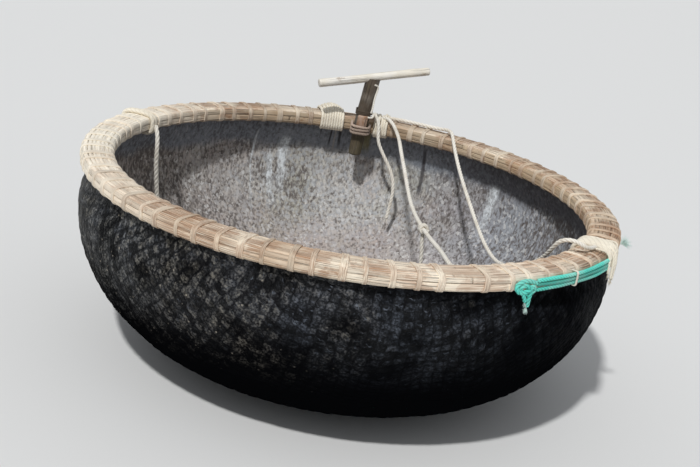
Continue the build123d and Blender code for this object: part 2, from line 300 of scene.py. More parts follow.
def wire(node, sockets):
    # each socket takes a value or another node's output
    for key, value in sockets.items():
        if isinstance(value, bpy.types.NodeSocket):
            now["tree"].links.new(value, node.inputs[key])
        else:
            node.inputs[key].default_value = (*value, 1.0) if node.inputs[key].type == "RGBA" else value


def put(kind, sockets, **settings):
    node = now["tree"].nodes.new("ShaderNode" + kind)
    for key, value in settings.items():
        setattr(node, key, value)
    wire(node, sockets)
    return node


def calc(operation, *values, clamp=False):
    return put("Math", dict(enumerate(values)), operation=operation, use_clamp=clamp).outputs[0]


def times(first, *others):
    # a product of shares, kept between 0 and 1
    for other in others:
        first = calc("MULTIPLY", first, other, clamp=True)
    return first


def most(a, b):
    return calc("MAXIMUM", a, b, clamp=True)


def timesPlus(a, b, c):
    return calc("MULTIPLY_ADD", a, b, c)


def minus(a, b):
    return calc("SUBTRACT", a, b)


def vectors(operation, sockets):
    return put("VectorMath", sockets, operation=operation).outputs[0]


def span(value, low, high, start=0.0, end=1.0):
    # a smooth step from start to end while the value goes from low to high
    sockets = {"Value": value, "From Min": low, "From Max": high, "To Min": start, "To Max": end}
    return put("MapRange", sockets, interpolation_type="SMOOTHSTEP").outputs[0]


def spread(share, start, end):
    return span(share, 0.0, 1.0, start, end)


def without(value, low, high, end=0.0):
    # one below low, falling to the end at high
    return span(value, low, high, 1.0, end)


def mix(share, a, b):
    return put("Mix", {0: share, 6: a, 7: b}, data_type="RGBA").outputs[2]


def layers(base, *coats):
    # colours laid over each other, each with its share
    for share, tint in coats:
        base = mix(share, base, tint)
    return base


def noise(place, scale, detail, rough):
    return put("TexNoise", {"Vector": place, "Scale": scale, "Detail": detail, "Roughness": rough}).outputs[0]


def stretched(place, scale, move=(0, 0, 0)):
    return put("Mapping", {"Vector": place, "Scale": scale, "Location": move}).outputs[0]


def separate(place):
    return put("SeparateXYZ", {0: place}).outputs


def combine(*values):
    return put("CombineXYZ", dict(enumerate(values))).outputs[0]


def attribute(name):
    return put("Attribute", {}, attribute_name=name).outputs["Fac"]


def use(group, **sockets):
    return put("Group", sockets, node_tree=bpy.data.node_groups[group]).outputs


def blotches(place, size, share, soft):
    return use("blotches", Place=place, Size=size, Share=share, Soft=soft)[0]


def grains(place, size, share):
    return use("grains", Place=place, Size=size, Share=share)


def newGroup(name, inputs, *outputs):
    # an input's kind follows from its first value: none for a place, three numbers for a colour
    now["tree"] = tree = bpy.data.node_groups.new(name, "ShaderNodeTree")
    kinds = {type(None): "Vector", tuple: "Color", float: "Float"}
    for label, value in inputs.items():
        socket = tree.interface.new_socket(name=label, in_out="INPUT", socket_type="NodeSocket" + kinds[type(value)])
        if value is not None:
            socket.default_value = (*value, 1.0) if isinstance(value, tuple) else value
    for label in outputs:
        kind = "NodeSocketColor" if label == "Colour" else "NodeSocketFloat"
        tree.interface.new_socket(name=label, in_out="OUTPUT", socket_type=kind)
    return tree.nodes.new("NodeGroupInput").outputs, tree.nodes.new("NodeGroupOutput")


def makeGrain():
    # streaks and splits that run along a strip: noise squeezed across it and drawn out along it
    given, out = newGroup("lengthwiseGrain", {"Place": None, "Length": 0.2, "Width": 0.004}, "Streak", "Fine", "Split")
    perLength, perWidth = calc("DIVIDE", 1.0, given["Length"]), calc("DIVIDE", 1.0, given["Width"])
    drawn = vectors("MULTIPLY", {0: given["Place"], 1: combine(perLength, perWidth, perWidth)})
    split = noise(stretched(drawn, (0.6, 1.7, 1.7), (3.1, 7.7, 1.3)), 1.0, 2.0, 0.5)
    wire(out, {"Streak": span(noise(drawn, 1.0, 3.0, 0.6), 0.3, 0.7),
               "Fine": span(noise(drawn, 3.3, 3.0, 0.65), 0.3, 0.7), "Split": without(split, 0.34, 0.41)})


def makeBlotches():
    # soft patches of a given size that cover a given share of the surface
    given, out = newGroup("blotches", {"Place": None, "Size": 0.1, "Share": 0.4, "Soft": 0.08}, "Mask")
    cloud = noise(given["Place"], calc("DIVIDE", 1.0, given["Size"]), 4.0, 0.6)
    # a noise texture's values crowd round one half, so the share is laid out over 0.32 to 0.68
    edge = spread(given["Share"], 0.68, 0.32)
    wire(out, {"Mask": span(cloud, minus(edge, given["Soft"]), calc("ADD", edge, given["Soft"]))})


def makeGrains():
    # separate grains or pits: cells of a given size, of which a given share show
    given, out = newGroup("grains", {"Place": None, "Size": 0.01, "Share": 0.4}, "Mask", "Chance")
    scale = calc("DIVIDE", 1.0, given["Size"])
    cells = put("TexVoronoi", {"Vector": given["Place"], "Scale": scale, "Randomness": 1.0}).outputs
    chosen = put("SeparateColor", {0: cells["Color"]}).outputs[0]
    shown = calc("LESS_THAN", chosen, given["Share"])
    wire(out, {"Mask": times(shown, without(cells["Distance"], 0.15, 0.5)), "Chance": chosen})


def makeAged():
    # a colour that ages towards a second, is darkened towards a dirt colour, by dirt and, on ropes, by painted shade
    # in the grooves, and drifts lighter and darker with a tone
    white, black = (1.0, 1.0, 1.0), (0.0, 0.0, 0.0)
    given, out = newGroup("agedColour", {"Colour": white, "Aged": white, "Dirt": black, "Age": 0.0, "Grime": 0.0,
                                         "Tone": 0.5, "Drift": 0.3}, "Colour")
    aged = mix(given["Age"], given["Colour"], given["Aged"])
    light = timesPlus(minus(given["Tone"], 0.5), given["Drift"], 1.0)
    lit = vectors("SCALE", {0: aged, "Scale": light})
    wire(out, {"Colour": mix(given["Grime"], lit, given["Dirt"])})


makeGrain()
makeBlotches()
makeGrains()
makeAged()


def newMaterial(name):
    material = bpy.data.materials.new(name)
    material.use_nodes = True
    now["tree"] = tree = material.node_tree
    tree.nodes.clear()
    shader = put("BsdfPrincipled", {})
    wire(put("OutputMaterial", {}), {0: shader.outputs[0]})
    places = put("TexCoord", {}).outputs
    return material, shader, places["UV"], places["Object"]


def finish(shader, base, rough, height, strength, deep, others={}):
    normal = put("Bump", {"Height": height, "Strength": strength, "Distance": deep}).outputs[0]
    wire(shader, {"Base Color": base, "Roughness": rough, "Normal": normal, **others})


def stripMaterial(name, look):
    # split bamboo, cane or timber: grain and splits along the strip, bleached and browned in patches
    material, shader, strip, place = newMaterial(name)
    strip = place if "fromPlace" in look else strip
    grain = use("lengthwiseGrain", Place=strip, Length=look["grainLength"], Width=look["grainWidth"])
    bleach = blotches(place, look["bleachSize"], look["bleachShare"], 0.12)
    brown = times(blotches(place, look["stainSize"], look["stainShare"], 0.05), grain["Streak"])
    if "wornPlace" in look:
        far = put("VectorMath", {0: place, 1: look["wornPlace"]}, operation="DISTANCE").outputs[1]
        near = without(far, 0.02, look["wornReach"])
        brown = most(brown, times(near, span(grain["Streak"], 0.25, 0.75)))
    base = mix(bleach, look["tan"], look["pale"])
    base = mix(times(grain["Streak"], look["streakShare"]), base, look["streak"])
    split = times(grain["Split"], look["splitShare"])
    if "bleached" in look:
        white = times(attribute("relief"), span(bleach, -1.4, 0.7))
        base = mix(white, base, look["bleached"])
        brown = times(brown, without(white, 0.2, 0.9, 0.12))
        split = times(split, without(white, 0.2, 0.9, 0.45))
    aged = use("agedColour", Colour=base, Aged=look["brown"], Dirt=look["dirt"], Age=times(brown, look["brownShare"]),
               Grime=split, Tone=attribute("tone"), Drift=look["drift"])
    height = minus(times(grain["Fine"], 0.35), grain["Split"])
    finish(shader, aged[0], look["rough"], height, look["bump"], look["bumpDeep"])
    return material


def ropeMaterial(name, look):
    # laid rope: pale crowns, painted shade in the grooves, patches of dirt, and yarns as fine lines that slant across
    # each strand
    material, shader, strip, place = newMaterial(name)
    along, across, _ = separate(strip)
    slant = timesPlus(along, look["yarnSlant"], across)
    yarns = span(calc("SINE", calc("MULTIPLY", slant, tau / look["yarn"])), -1.0, 1.0)
    dirty = blotches(place, look["dirtSize"], look["dirtShare"], 0.12)
    # painted shade: the grooves between the strands, where the relief is low, are darkened towards the dirt colour
    deep = span(attribute("relief"), 0.55, 0.0, 0.0, look["paintedGrooveShade"])
    grimeAndGrooveShade = most(deep, times(dirty, look["dirtStrength"]))
    aged = use("agedColour", Colour=mix(yarns, look["shade"], look["light"]), Aged=look["aged"], Dirt=look["dirt"],
               Age=times(dirty, 0.5), Grime=grimeAndGrooveShade, Tone=attribute("tone"), Drift=look["drift"])
    finish(shader, aged[0], look["rough"], yarns, 0.5, 0.0006, {"Sheen Weight": look["sheen"]})
    return material


ropeLook = {
    "light": (0.96, 0.925, 0.84), "shade": (0.86, 0.81, 0.71), "aged": (0.76, 0.68, 0.55), "dirt": (0.30, 0.24, 0.18),
    "yarn": 0.0016, "yarnSlant": 1.2, "dirtSize": 0.07, "dirtShare": 0.35, "dirtStrength": 0.16,
    "paintedGrooveShade": 0.38, "drift": 0.22, "rough": 0.9, "sheen": 0.15,
}
ropeWhite = ropeMaterial("ropeWhite", ropeLook)
ropeCream = ropeMaterial("ropeCream", {
    **ropeLook, "light": (0.94, 0.88, 0.75), "shade": (0.85, 0.775, 0.63), "dirt": (0.50, 0.42, 0.31),
    "paintedGrooveShade": 0.35, "dirtStrength": 0.1})
ropeDark = ropeMaterial("ropeDark", {
    **ropeLook, "light": (0.13, 0.095, 0.065), "shade": (0.075, 0.055, 0.04), "aged": (0.10, 0.075, 0.05),
    "dirt": (0.02, 0.015, 0.012), "sheen": 0.05})
ropeTan = ropeMaterial("ropeTan", {
    **ropeLook, "light": (0.56, 0.44, 0.36), "shade": (0.46, 0.345, 0.27), "aged": (0.44, 0.32, 0.25),
    "paintedGrooveShade": 0.3, "drift": 0.8})
lineGreen = ropeMaterial("lineGreen", {
    **ropeLook, "light": (0.16, 0.82, 0.68), "shade": (0.04, 0.56, 0.45), "aged": (0.46, 0.80, 0.70),
    "dirt": (0.015, 0.12, 0.085), "dirtShare": 0.4, "dirtStrength": 0.1, "paintedGrooveShade": 0.7, "rough": 0.62,
    "sheen": 0.1, "drift": 0.7})
tuftPale = ropeMaterial("tuftPale", {
    **ropeLook, "light": (0.78, 0.92, 0.87), "shade": (0.60, 0.84, 0.76), "aged": (0.78, 0.88, 0.83),
    "dirt": (0.3, 0.52, 0.46), "rough": 0.7})
print("rope finishes ready")


# Ropes: their routes repeat those of the frame, in millimetres
ropes = {
    "hangingRope": {
        "node": "hanging_rope", "diameter": 0.014, "lay": 3.5, "far": "bare", "length": 0.482,
        "route": [
            (82, 848, 782), (104, 842, 758), (113, 829, 718), (117, 819, 668), (146, 812, 620), (180, 806, 572),
            (209, 799, 520), (219, 795, 462), (216, 795, 400), (211, 796, 340)],
    },
    "crossingRope": {
        "node": "crossing_rope", "diameter": 0.014, "lay": 3.5, "far": "object", "length": 1.736, "with": ["ropeKnot"],
        "route": [
            (119.6, 909.1, 746.3), (141, 883, 762), (161, 850, 757), (174, 809, 749), (184, 758, 740),
            (192, 692, 733), (197, 607, 725), (200, 500, 716), (215, 360, 682), (226, 230, 652), (236, 100, 632),
            (250, -40, 627), (262, -160, 633), (272, -280, 645), (284, -410, 661), (296, -540, 680),
            (303, -650, 696), (306, -730, 706), (317.3, -785.3, 708)],
    },
    "ropeTail": {
        "node": "rope_tail", "diameter": 0.013, "lay": 3.5, "far": "bare", "length": 0.149,
        "route": [(268, -222, 618), (270, -223, 586), (277, -226, 546), (280, -226, 506), (276, -226, 470)],
    },
    "cornerRope": {
        "node": "corner_rope", "diameter": 0.014, "lay": 3.5, "far": "object", "length": 2.017,
        "route": [
            (124.6, 949.8, 746.3), (196, 934, 751), (284, 908, 752), (366, 872, 753), (424, 822, 766),
            (430, 752, 740), (446, 664, 690), (466, 558, 644), (488, 444, 603), (510, 330, 566), (532, 212, 530),
            (556, 90, 502), (580, -34, 496), (603, -154, 524), (626, -270, 569), (648, -380, 627), (666, -464, 686),
            (677, -504, 732), (688, -521, 762), (704, -531, 776), (725, -539, 782), (747, -544, 780),
            (767, -542, 771), (786, -531, 761), (811, -499, 753), (830.2, -466, 747.5)],
    },
    "sideRope": {
        "node": "side_rope", "diameter": 0.016, "lay": 3.6, "far": "bare", "length": 0.462,
        "route": [
            (-787.2, 359.1, 706.5), (-778, 348, 687), (-772, 339, 660), (-769, 335, 620), (-767, 342, 566),
            (-761, 358, 498), (-752, 380, 422), (-743, 400, 342), (-733, 421, 264)],
    },
}


def makeRopes():
    for seed, (name, rope) in enumerate(ropes.items()):
        line = routeLine(name + "Route", rope["route"], 0.003)
        # drawn a little thicker, because the grooves between the strands take from the mean thickness
        part = ropePart(line, rope["diameter"] * 1.12, rope["lay"], seed, tone=0.85)
        piece = makePiece(name, [part], ropeWhite, [rope["node"]])
        extras = [bpy.data.objects[other] for other in rope.get("with", [])]
        if rope["far"] == "bare":
            fibres = frayPart(line, 4, 0.022, 0.012, 26, 40 + seed)
            extras.append(makePiece(name + "Fray", fibres, ropeWhite))


# Hull: two closed skins, one for each face of the wall, with the weave pressed into them
hull = {
    "foot": 0.300, "arcs": [(0.900, 24.0), (0.56419, 38.0), (0.47212, 28.0), (0.14764, 27.6), (0.09843, -27.6)],
    "top": 0.725, "step": 0.0005,
    "rowsFace": -80.0,        # where the rows of the weave lie level
    "weft": 0.026, "warp": 0.043, "wander": 0.008, "fadeFrom": 0.690, "fadeTo": 0.712,
}
# each skin: how far its face and its back lie inside the hull's outer face, which way is out, how deep the
# weave is pressed in, between which shares of the profile it runs, and how many rows and columns it has
outerSkin = {"inset": 0.0, "back": 0.0066, "sign": 1, "deep": 0.0034, "seed": 11}
skins = {
    "hullOutside": {**outerSkin, "from": 0.66, "to": 1.0, "rows": 92, "columns": 840},
    "hullBilge": {**outerSkin, "from": 0.38, "to": 0.6605, "rows": 64, "columns": 560},
    "hullFoot": {**outerSkin, "from": 0.0025, "to": 0.3805, "rows": 50, "columns": 400},
    "hullInside": {"inset": 0.012, "back": 0.0072, "sign": -1, "deep": 0.0016, "seed": 21, "from": 0.0025, "to": 1.0,
                   "rows": 124, "columns": 500},
}


def hullProfile(inset, rows):
    # the foot's flat, then the arcs one after another, then straight up: the heading turns at a steady
    # rate along each arc, and the places are the running sums of its cosine and sine
    step = hull["step"]
    knots = np.cumsum([0.0, hull["foot"]] + [size * abs(math.radians(turn)) for size, turn in hull["arcs"]])
    headings = np.cumsum([0.0, 0.0] + [math.radians(turn) for _, turn in hull["arcs"]])
    far = np.arange(0, knots[-1] + 0.15, step)
    heading = np.interp(far, knots, headings)
    middle = heading[:-1] + np.diff(heading) / 2
    r, z = (join([0], np.cumsum(way(middle) * step)) for way in (np.cos, np.sin))
    at = np.interp(rows * far[np.searchsorted(z, hull["top"])], far, far)
    r, z, cosine, sine = (np.interp(at, far, values) for values in (r, z, np.cos(heading), np.sin(heading)))
    return at, r - inset * sine, z + inset * cosine, sine, -cosine


def ripple(p, q, seed, size, amount=1.0):
    # a sum of plane sine waves that run in random directions over the weave's flat pattern
    random = np.random.default_rng(seed)
    count = 9
    total = np.zeros(np.broadcast(p, q).shape)
    for _ in range(count):
        way, length = random.uniform(0, tau), size * random.uniform(0.6, 1.8)
        total = total + np.sin(tau * (p * np.cos(way) + q * np.sin(way)) / length + random.uniform(0, tau))
    return amount * total / np.sqrt(count / 2)


def weaveHeight(p, q):
    # plain weave: the square that a place falls in says which strip is on top, and the height is the
    # strip's rounded section times its arch from where it dives under to where it dives again
    across, along = p / hull["weft"], q / hull["warp"]
    weftUp = (np.floor(across) + np.floor(along)) % 2 == 1
    a, b = (np.abs(cell - np.floor(cell) - 0.5) * 2 for cell in (across, along))
    wide, long = np.where(weftUp, a, b), np.where(weftUp, b, a)
    return (1 - wide ** 3) * np.cos(long * tau / 4) ** 0.7 * np.where(weftUp, 1.0, 0.62)


def cellChance(p, q, seed):
    # a steady random value for each square of the weave, from a table that its row and column look up
    table = np.random.default_rng(seed).uniform(0, 1, (97, 89))
    return table[np.floor(p / hull["weft"]).astype(int) % 97, np.floor(q / hull["warp"]).astype(int) % 89]


def makeSkin(name, tone, material):
    # distance along the profile and angle round the boat give the place; the weave's pattern is flat,
    # laid over the bowl with true lengths along every line from its middle
    skin = skins[name]
    seed, wander = skin["seed"], hull["wander"]
    along, r, z, outR, outZ = hullProfile(skin["inset"], np.linspace(skin["from"], skin["to"], skin["rows"]))
    turn = tau * np.arange(skin["columns"] + 1) / skin["columns"]
    flat = turn - math.radians(hull["rowsFace"])
    p, q = np.multiply.outer(along, np.cos(flat)), np.multiply.outer(along, np.sin(flat))
    p = p + ripple(p, q, seed, 0.30, wander) + ripple(p, q, seed + 1, 0.09, wander * 0.28)
    q = q + ripple(p, q, seed + 2, 0.34, wander) + ripple(p, q, seed + 3, 0.10, wander * 0.28)
    height = weaveHeight(p, q)
    fade = np.clip((hull["fadeTo"] - z) / (hull["fadeTo"] - hull["fadeFrom"]), 0, 1)[:, None]
    dents = 0.20 * ripple(p, q, seed + 4, 0.16) + 0.55 * (cellChance(p, q, seed) - 0.5)
    inwards = skin["sign"] * skin["deep"] * fade * np.clip(1 - height * (0.85 + dents), 0, 1.4)
    r2, z2 = r[:, None] - inwards * outR[:, None], z[:, None] - inwards * outZ[:, None]
    places = polar(r2, turn, z2)[:, :-1]
    # the back lies inside the wall, so that both skins are closed and never meet
    share = join(np.linspace(1, 0.40, 14), np.linspace(0.28, 0.0, 4))
    _, rb, zb, _, _ = hullProfile(skin["back"], skin["from"] + share * (skin["to"] - skin["from"]))
    behind = polar(rb[:, None], turn, zb[:, None])[:, :-1]
    uv = np.stack([p, q], -1)
    uv = join(uv, np.repeat(uv[-1:], len(rb) + 1, 0))
    hidden = np.zeros((len(rb), skin["columns"]))
    tones = join(tone(turn[None, :-1], z[:, None], p[:, :-1], q[:, :-1]), hidden + 0.5)
    reliefs = join(height[:, :-1], hidden)
    part = gridPart(join(places, behind), uv, tones, reliefs, closeRows=skin["from"] > 0.1)
    makePiece(name, [part], material, ["basket_hull"])


def outsideWear(turn, z, p, q):
    # how far the tar is worn off: most on the left and front left, less towards the right, none at the bottom
    side = 0.98 * bump(turn, 186, 40) + 0.38 * bump(turn, -124, 18)
    side = side + 0.24 * bump(turn, -100, 16) + 0.10 * bump(turn, 60, 70) + 0.10
    high = np.clip((z - 0.16) / 0.26, 0.0, 1)
    return np.clip((side + 0.16 * ripple(p, q, 71, 0.45) * np.clip(2 * side, 0, 1)) * high, 0, 1)


def insideWear(turn, z, p, q):
    # how pale the inside is: bleached where the sun reaches the far side and the bottom; darker high up under the rim
    # and on the right wall, which is painted shade
    far = 0.52 + 0.30 * bump(turn, 95, 50) - 0.26 * bump(turn, 150, 28)
    paintedRimShade = 0.75 * np.clip((z - 0.50) / 0.14, 0, 1) ** 1.5 + 0.25 * bump(turn, 5, 30)
    return np.clip(far - paintedRimShade + 0.12 * np.clip(1 - z / 0.4, 0, 1) + 0.08 * ripple(p, q, 81, 0.6), 0, 1)


def makeWeave():
    # the narrow creases of the plain weave, from the same squares as the skin's shape, the grain of whichever
    # strip is on top, and a random value for each square
    given, out = newGroup("weave", {"Flat": None, "Weft": hull["weft"], "Warp": hull["warp"], "Length": 0.05,
                                    "Width": 0.004}, "Crease", "Chance", "Streak", "Fine")
    x, y, _ = separate(given["Flat"])
    cells = []
    for part, pitch in ((x, "Weft"), (y, "Warp")):
        cell = calc("DIVIDE", part, given[pitch])
        whole = calc("FLOOR", cell)
        cells.append((whole, calc("ABSOLUTE", minus(minus(cell, whole), 0.5))))
    both = calc("ADD", cells[0][0], cells[1][0])
    odd = calc("FLOORED_MODULO", both, 2.0)
    wide = put("Mix", {0: odd, 2: cells[1][1], 3: cells[0][1]}).outputs[0]
    long = put("Mix", {0: odd, 2: cells[0][1], 3: cells[1][1]}).outputs[0]
    square = combine(cells[0][0], cells[1][0])
    strip = put("Mix", {0: odd, 4: combine(x, y, both), 5: combine(y, x, both)}, data_type="VECTOR").outputs[1]
    grain = use("lengthwiseGrain", Place=strip, Length=given["Length"], Width=given["Width"])
    wire(out, {"Crease": most(span(wide, 0.36, 0.5), span(long, 0.40, 0.5, 0.0, 0.8)),
               "Chance": put("TexWhiteNoise", {"Vector": square}).outputs["Value"],
               "Streak": grain["Streak"], "Fine": grain["Fine"]})


def makeStainAndShadowStripe():
    # a stripe down the wall, for stains that have run and for painted shadows: a thin upright stripe at an angle round
    # the boat, with ragged ends
    given, out = newGroup("stainAndShadowStripe", {"Place": None, "Angle": 0.0, "Lean": 0.0, "Half": 0.02, "Low": 0.2,
                                       "High": 0.6, "Fade": 0.26, "Shake": 0.05}, "Mask")
    x, y, z = separate(given["Place"])
    shaky = noise(stretched(given["Place"], (14, 14, 3.5)), 1.0, 3.0, 0.6)
    wobble = calc("MULTIPLY", minus(shaky, 0.5), given["Shake"])
    fall = minus(given["High"], z)
    slip = timesPlus(fall, given["Lean"], given["Angle"])
    off = calc("ADD", minus(calc("ARCTAN2", y, x), slip), wobble)
    stripe = without(calc("DIVIDE", calc("ABSOLUTE", off), given["Half"]), 0.35, 1.0)
    clear = calc("ADD", given["Low"], given["Fade"])
    wire(out, {"Mask": times(stripe, times(span(fall, -0.01, 0.03), span(z, given["Low"], clear)))})


def raggedly(vector, place, size, far):
    # a flat place pushed about by fine noise, so that edges worked out from it are uneven
    cloud = put("TexNoise", {"Vector": place, "Scale": 1 / size, "Detail": 2.0}).outputs["Color"]
    push = vectors("SCALE", {0: vectors("SUBTRACT", {0: cloud, 1: (0.5, 0.5, 0.5)}), "Scale": far})
    return vectors("ADD", {0: vector, 1: push})


outsideLook = {
    "tar": (0.0026, 0.0028, 0.0034), "filmAndSheen": (0.090, 0.103, 0.128), "dust": (0.160, 0.148, 0.128),
    "glint": (0.135, 0.155, 0.190), "ash": (0.245, 0.245, 0.235), "worn": (0.19, 0.175, 0.145),
    "bare": (0.36, 0.32, 0.26), "filmSize": 0.16, "chipSize": 0.045, "grit": 0.0075, "ragged": 0.023,
    "rough": (0.46, 0.88), "specular": (0.0, 0.12),
}


def outsideMaterial(look):
    material, shader, flat, place = newMaterial("tarOutside")
    uneven = raggedly(flat, place, 0.016, look["ragged"])
    weave = use("weave", Flat=uneven, Length=0.05, Width=0.0028)
    relief, wear = attribute("relief"), attribute("tone")
    x, _, z = separate(place)
    upper = span(z, 0.28, 0.60)
    grit = span(noise(place, 1 / look["grit"], 3.0, 0.6), 0.40, 0.66)
    gritty = times(grit, span(relief, 0.0, 0.6, 0.35, 1.0))
    cell = span(timesPlus(weave["Chance"], 0.45, noise(place, 30.0, 2.0, 0.6)), 0.50, 0.95, 0.06, 1.0)
    # a thin film on the tar high up, painted bluish: partly a dull film, partly a painted sheen of the sky
    filmAndSheen = blotches(place, look["filmSize"], 0.55, 0.2)
    glazed = times(filmAndSheen, upper, without(x, 0.1, 0.7, 0.18))
    thin = times(glazed, cell, spread(gritty, 0.2, 1.0))
    # painted highlights: short level dashes where the tops of the strips catch the light
    paintedGlints = span(noise(stretched(uneven, (150, 36, 1)), 1.0, 2.0, 0.5), 0.56, 0.70)
    paintedGlints = times(paintedGlints, times(glazed, span(relief, 0.2, 0.9)))
    # brown dust where it is worn, ash grey at the far left
    chips = blotches(place, look["chipSize"], 0.5, 0.2)
    chipped = spread(chips, 0.30, 1.0)
    dusty = times(span(wear, 0.12, 0.50), chipped, gritty, cell, span(z, 0.24, 0.54, 0.25, 1.0))
    dust = mix(without(x, -0.85, -0.45), look["dust"], look["ash"])
    # single strips worn to the wood, and specks of bare wood
    ridge = span(relief, 0.15, 0.85)
    picked = span(timesPlus(wear, 1.3, weave["Chance"]), 0.95, 1.8)
    worn = times(ridge, picked, span(weave["Streak"], -0.6, 0.8), chipped, upper, spread(grit, 0.25, 1.0))
    bare = times(grains(place, 0.010, 0.04)["Mask"], ridge, span(wear, 0.1, 0.7))
    # small ragged holes where dust and film have come off
    holes = grains(stretched(raggedly(place, place, 0.012, 0.018), (1, 1, 1.3)), 0.019, 0.42)
    dark = times(weave["Crease"], spread(chips, 0.72, 0.32))
    dark = most(dark, times(holes["Mask"], 0.85))
    base = layers(look["tar"], (thin, look["filmAndSheen"]), (paintedGlints, look["glint"]), (dusty, dust), (worn, look["worn"]),
                  (bare, look["bare"]), (dark, look["tar"]))
    shiny = times(upper, spread(filmAndSheen, 0.3, 1.0), without(x, 0.1, 0.7, 0.2))
    lumps = timesPlus(weave["Streak"], 0.3, noise(place, 70.0, 4.0, 0.65))
    finish(shader, base, span(worn, 0.0, 0.5, *look["rough"]), timesPlus(weave["Crease"], -0.7, lumps), 0.8, 0.0026,
           {"Specular IOR Level": spread(shiny, *look["specular"])})
    return material


insideLook = {
    "dark": (0.140, 0.124, 0.116), "warm": (0.40, 0.345, 0.305), "pale": (0.63, 0.61, 0.58),
    "pink": (0.47, 0.375, 0.345), "olive": (0.38, 0.375, 0.28), "cool": (0.32, 0.36, 0.42),
    "paintedShadeSlate": (0.235, 0.262, 0.300), "paintedShadeDark": (0.050, 0.045, 0.050), "speck": (0.82, 0.79, 0.74),
    "pit": (0.040, 0.034, 0.033), "stain": (0.80, 0.85, 0.88), "salt": (0.80, 0.79, 0.76),
    "wetOlive": (0.190, 0.170, 0.075), "strap": (0.33, 0.32, 0.30), "slot": (0.016, 0.014, 0.015),
    "fineWeft": 0.020, "fineWarp": 0.027, "dot": 0.0104, "rough": 0.85,
    # pale streaks, then the marks beside the post, where the dark slots are painted shadows beside the strap and the
    # dark mark at 69.6 is a rope's painted shadow: angle, lean, half width, lower and upper end, and colour
    "marks": [
        (114.4, 0.055, 0.007, 0.22, 0.62, "stain"), (106.3, 0.05, 0.026, 0.26, 0.60, "stain"),
        (110.0, -0.06, 0.016, 0.22, 0.52, "stain"), (48.5, 0.10, 0.026, 0.26, 0.58, "stain"),
        (85.4, 0.0, 0.026, 0.55, 0.70, "wetOlive"), (95.0, 0.0, 0.0060, 0.55, 0.69, "slot"),
        (92.5, 0.0, 0.0095, 0.55, 0.69, "slot"), (93.8, 0.0, 0.0060, 0.52, 0.69, "strap"),
        (97.8, 0.0, 0.0050, 0.60, 0.69, "slot"), (69.6, 0.0, 0.012, 0.40, 0.66, "paintedShadeDark")],
}


def insideMaterial(look):
    material, shader, flat, place = newMaterial("bleachedInside")
    weave = use("weave", Flat=flat, Weft=look["fineWeft"], Warp=look["fineWarp"])
    pale = attribute("tone")
    x, _, z = separate(place)
    moved = [stretched(place, (1, 1, 1), (1.7 * k, 0.4 * k, 0.9 * k)) for k in (1, 2, 3, 4)]
    patches = blotches(place, 0.20, 0.55, 0.2)
    speckled = blotches(moved[0], 0.15, 0.5, 0.16)
    shaken = raggedly(stretched(place, (1, 1, 0.7)), place, 0.012, 0.016)
    mottle = span(noise(stretched(moved[3], (1, 1, 0.5)), 1 / look["dot"], 3.0, 0.6), 0.34, 0.66)
    lumps = span(noise(stretched(moved[0], (1, 1, 0.6)), 26.0, 2.0, 0.5), 0.35, 0.65)
    crumb = grains(shaken, look["dot"], 1.0)["Chance"]
    light = pale
    for cause, amount in ((patches, 0.30), (mottle, 0.95), (lumps, 0.30), (crumb, 0.80)):
        light = timesPlus(cause, amount, light)
    # pink and olive patches, cooler to the right and in single crumbs, warmer to the left, pink at the bottom
    pinkish = times(blotches(moved[1], 0.30, 0.45, 0.2), 0.75)
    greenish = times(blotches(moved[2], 0.34, 0.34, 0.2), 0.75)
    sideways = timesPlus(patches, 0.2, x)
    cool = most(span(sideways, 0.25, 0.85, 0.0, 0.75), span(crumb, 0.35, 0.9, 0.0, 0.55))
    warm, bottom = span(sideways, -0.10, -0.70, 0.0, 0.65), span(z, 0.34, 0.12, 0.0, 0.45)
    base = layers(look["pale"], (pinkish, look["pink"]), (greenish, look["olive"]), (cool, look["cool"]),
                  (warm, look["warm"]), (bottom, look["pink"]))
    base = mix(span(light, 0.95, 2.40), look["dark"], base)
    # painted shade under the rim: a dark slate band, darker towards the right
    paintedRimShade = span(timesPlus(patches, 0.03, z), 0.545, 0.60, 0.0, 0.88)
    paintedShadeColour = mix(span(light, 0.2, 1.7, 0.3, 1.0), look["paintedShadeDark"], look["paintedShadeSlate"])
    paintedShadeColour = mix(span(x, 0.30, 0.80, 0.0, 0.70), paintedShadeColour, look["paintedShadeDark"])
    specks = grains(stretched(shaken, (1, 1, 0.6)), look["dot"] * 0.95, 0.16)["Mask"]
    shown = times(specks, spread(speckled, 0.06, 0.66), without(paintedRimShade, 0.1, 0.7, 0.15), span(light, 0.2, 1.1))
    salt = times(span(crumb, 0.84, 0.94, 0.0, 0.5), without(paintedRimShade, 0.0, 0.8, 0.2), spread(patches, 0.25, 1.0))
    base = layers(base, (paintedRimShade, paintedShadeColour), (shown, look["speck"]), (salt, look["salt"]))
    # the slot marks and the dark mark at 69.6 are painted shadows
    for angle, lean, half, low, top, tint in look["marks"]:
        fade, shake, cover = (0.26, 0.05, spread(mottle, 0.35, 0.95)) if tint == "stain" else (0.06, 0.016, 0.8)
        mark = use("stainAndShadowStripe", Place=place, Angle=math.radians(angle), Lean=lean, Half=half, Low=low, High=top,
                   Fade=fade, Shake=shake)
        base = mix(times(mark[0], cover), base, look[tint])
    # dark pits, and painted shade in the creases of the weave, darker where the relief is low
    pits = grains(stretched(shaken, (1, 1, 0.7), (0.4, 2.9, 1.1)), look["dot"] * 0.8, 0.20)["Mask"]
    creaseShade = times(weave["Crease"], span(attribute("relief"), 0.7, 0.0, 0.06, 0.30))
    dark = most(times(pits, spread(speckled, 0.05, 0.5)), creaseShade)
    finish(shader, mix(dark, base, look["pit"]), look["rough"], timesPlus(dark, -0.6, mottle), 0.7, 0.0020,
           {"Specular IOR Level": 0.3})
    return material


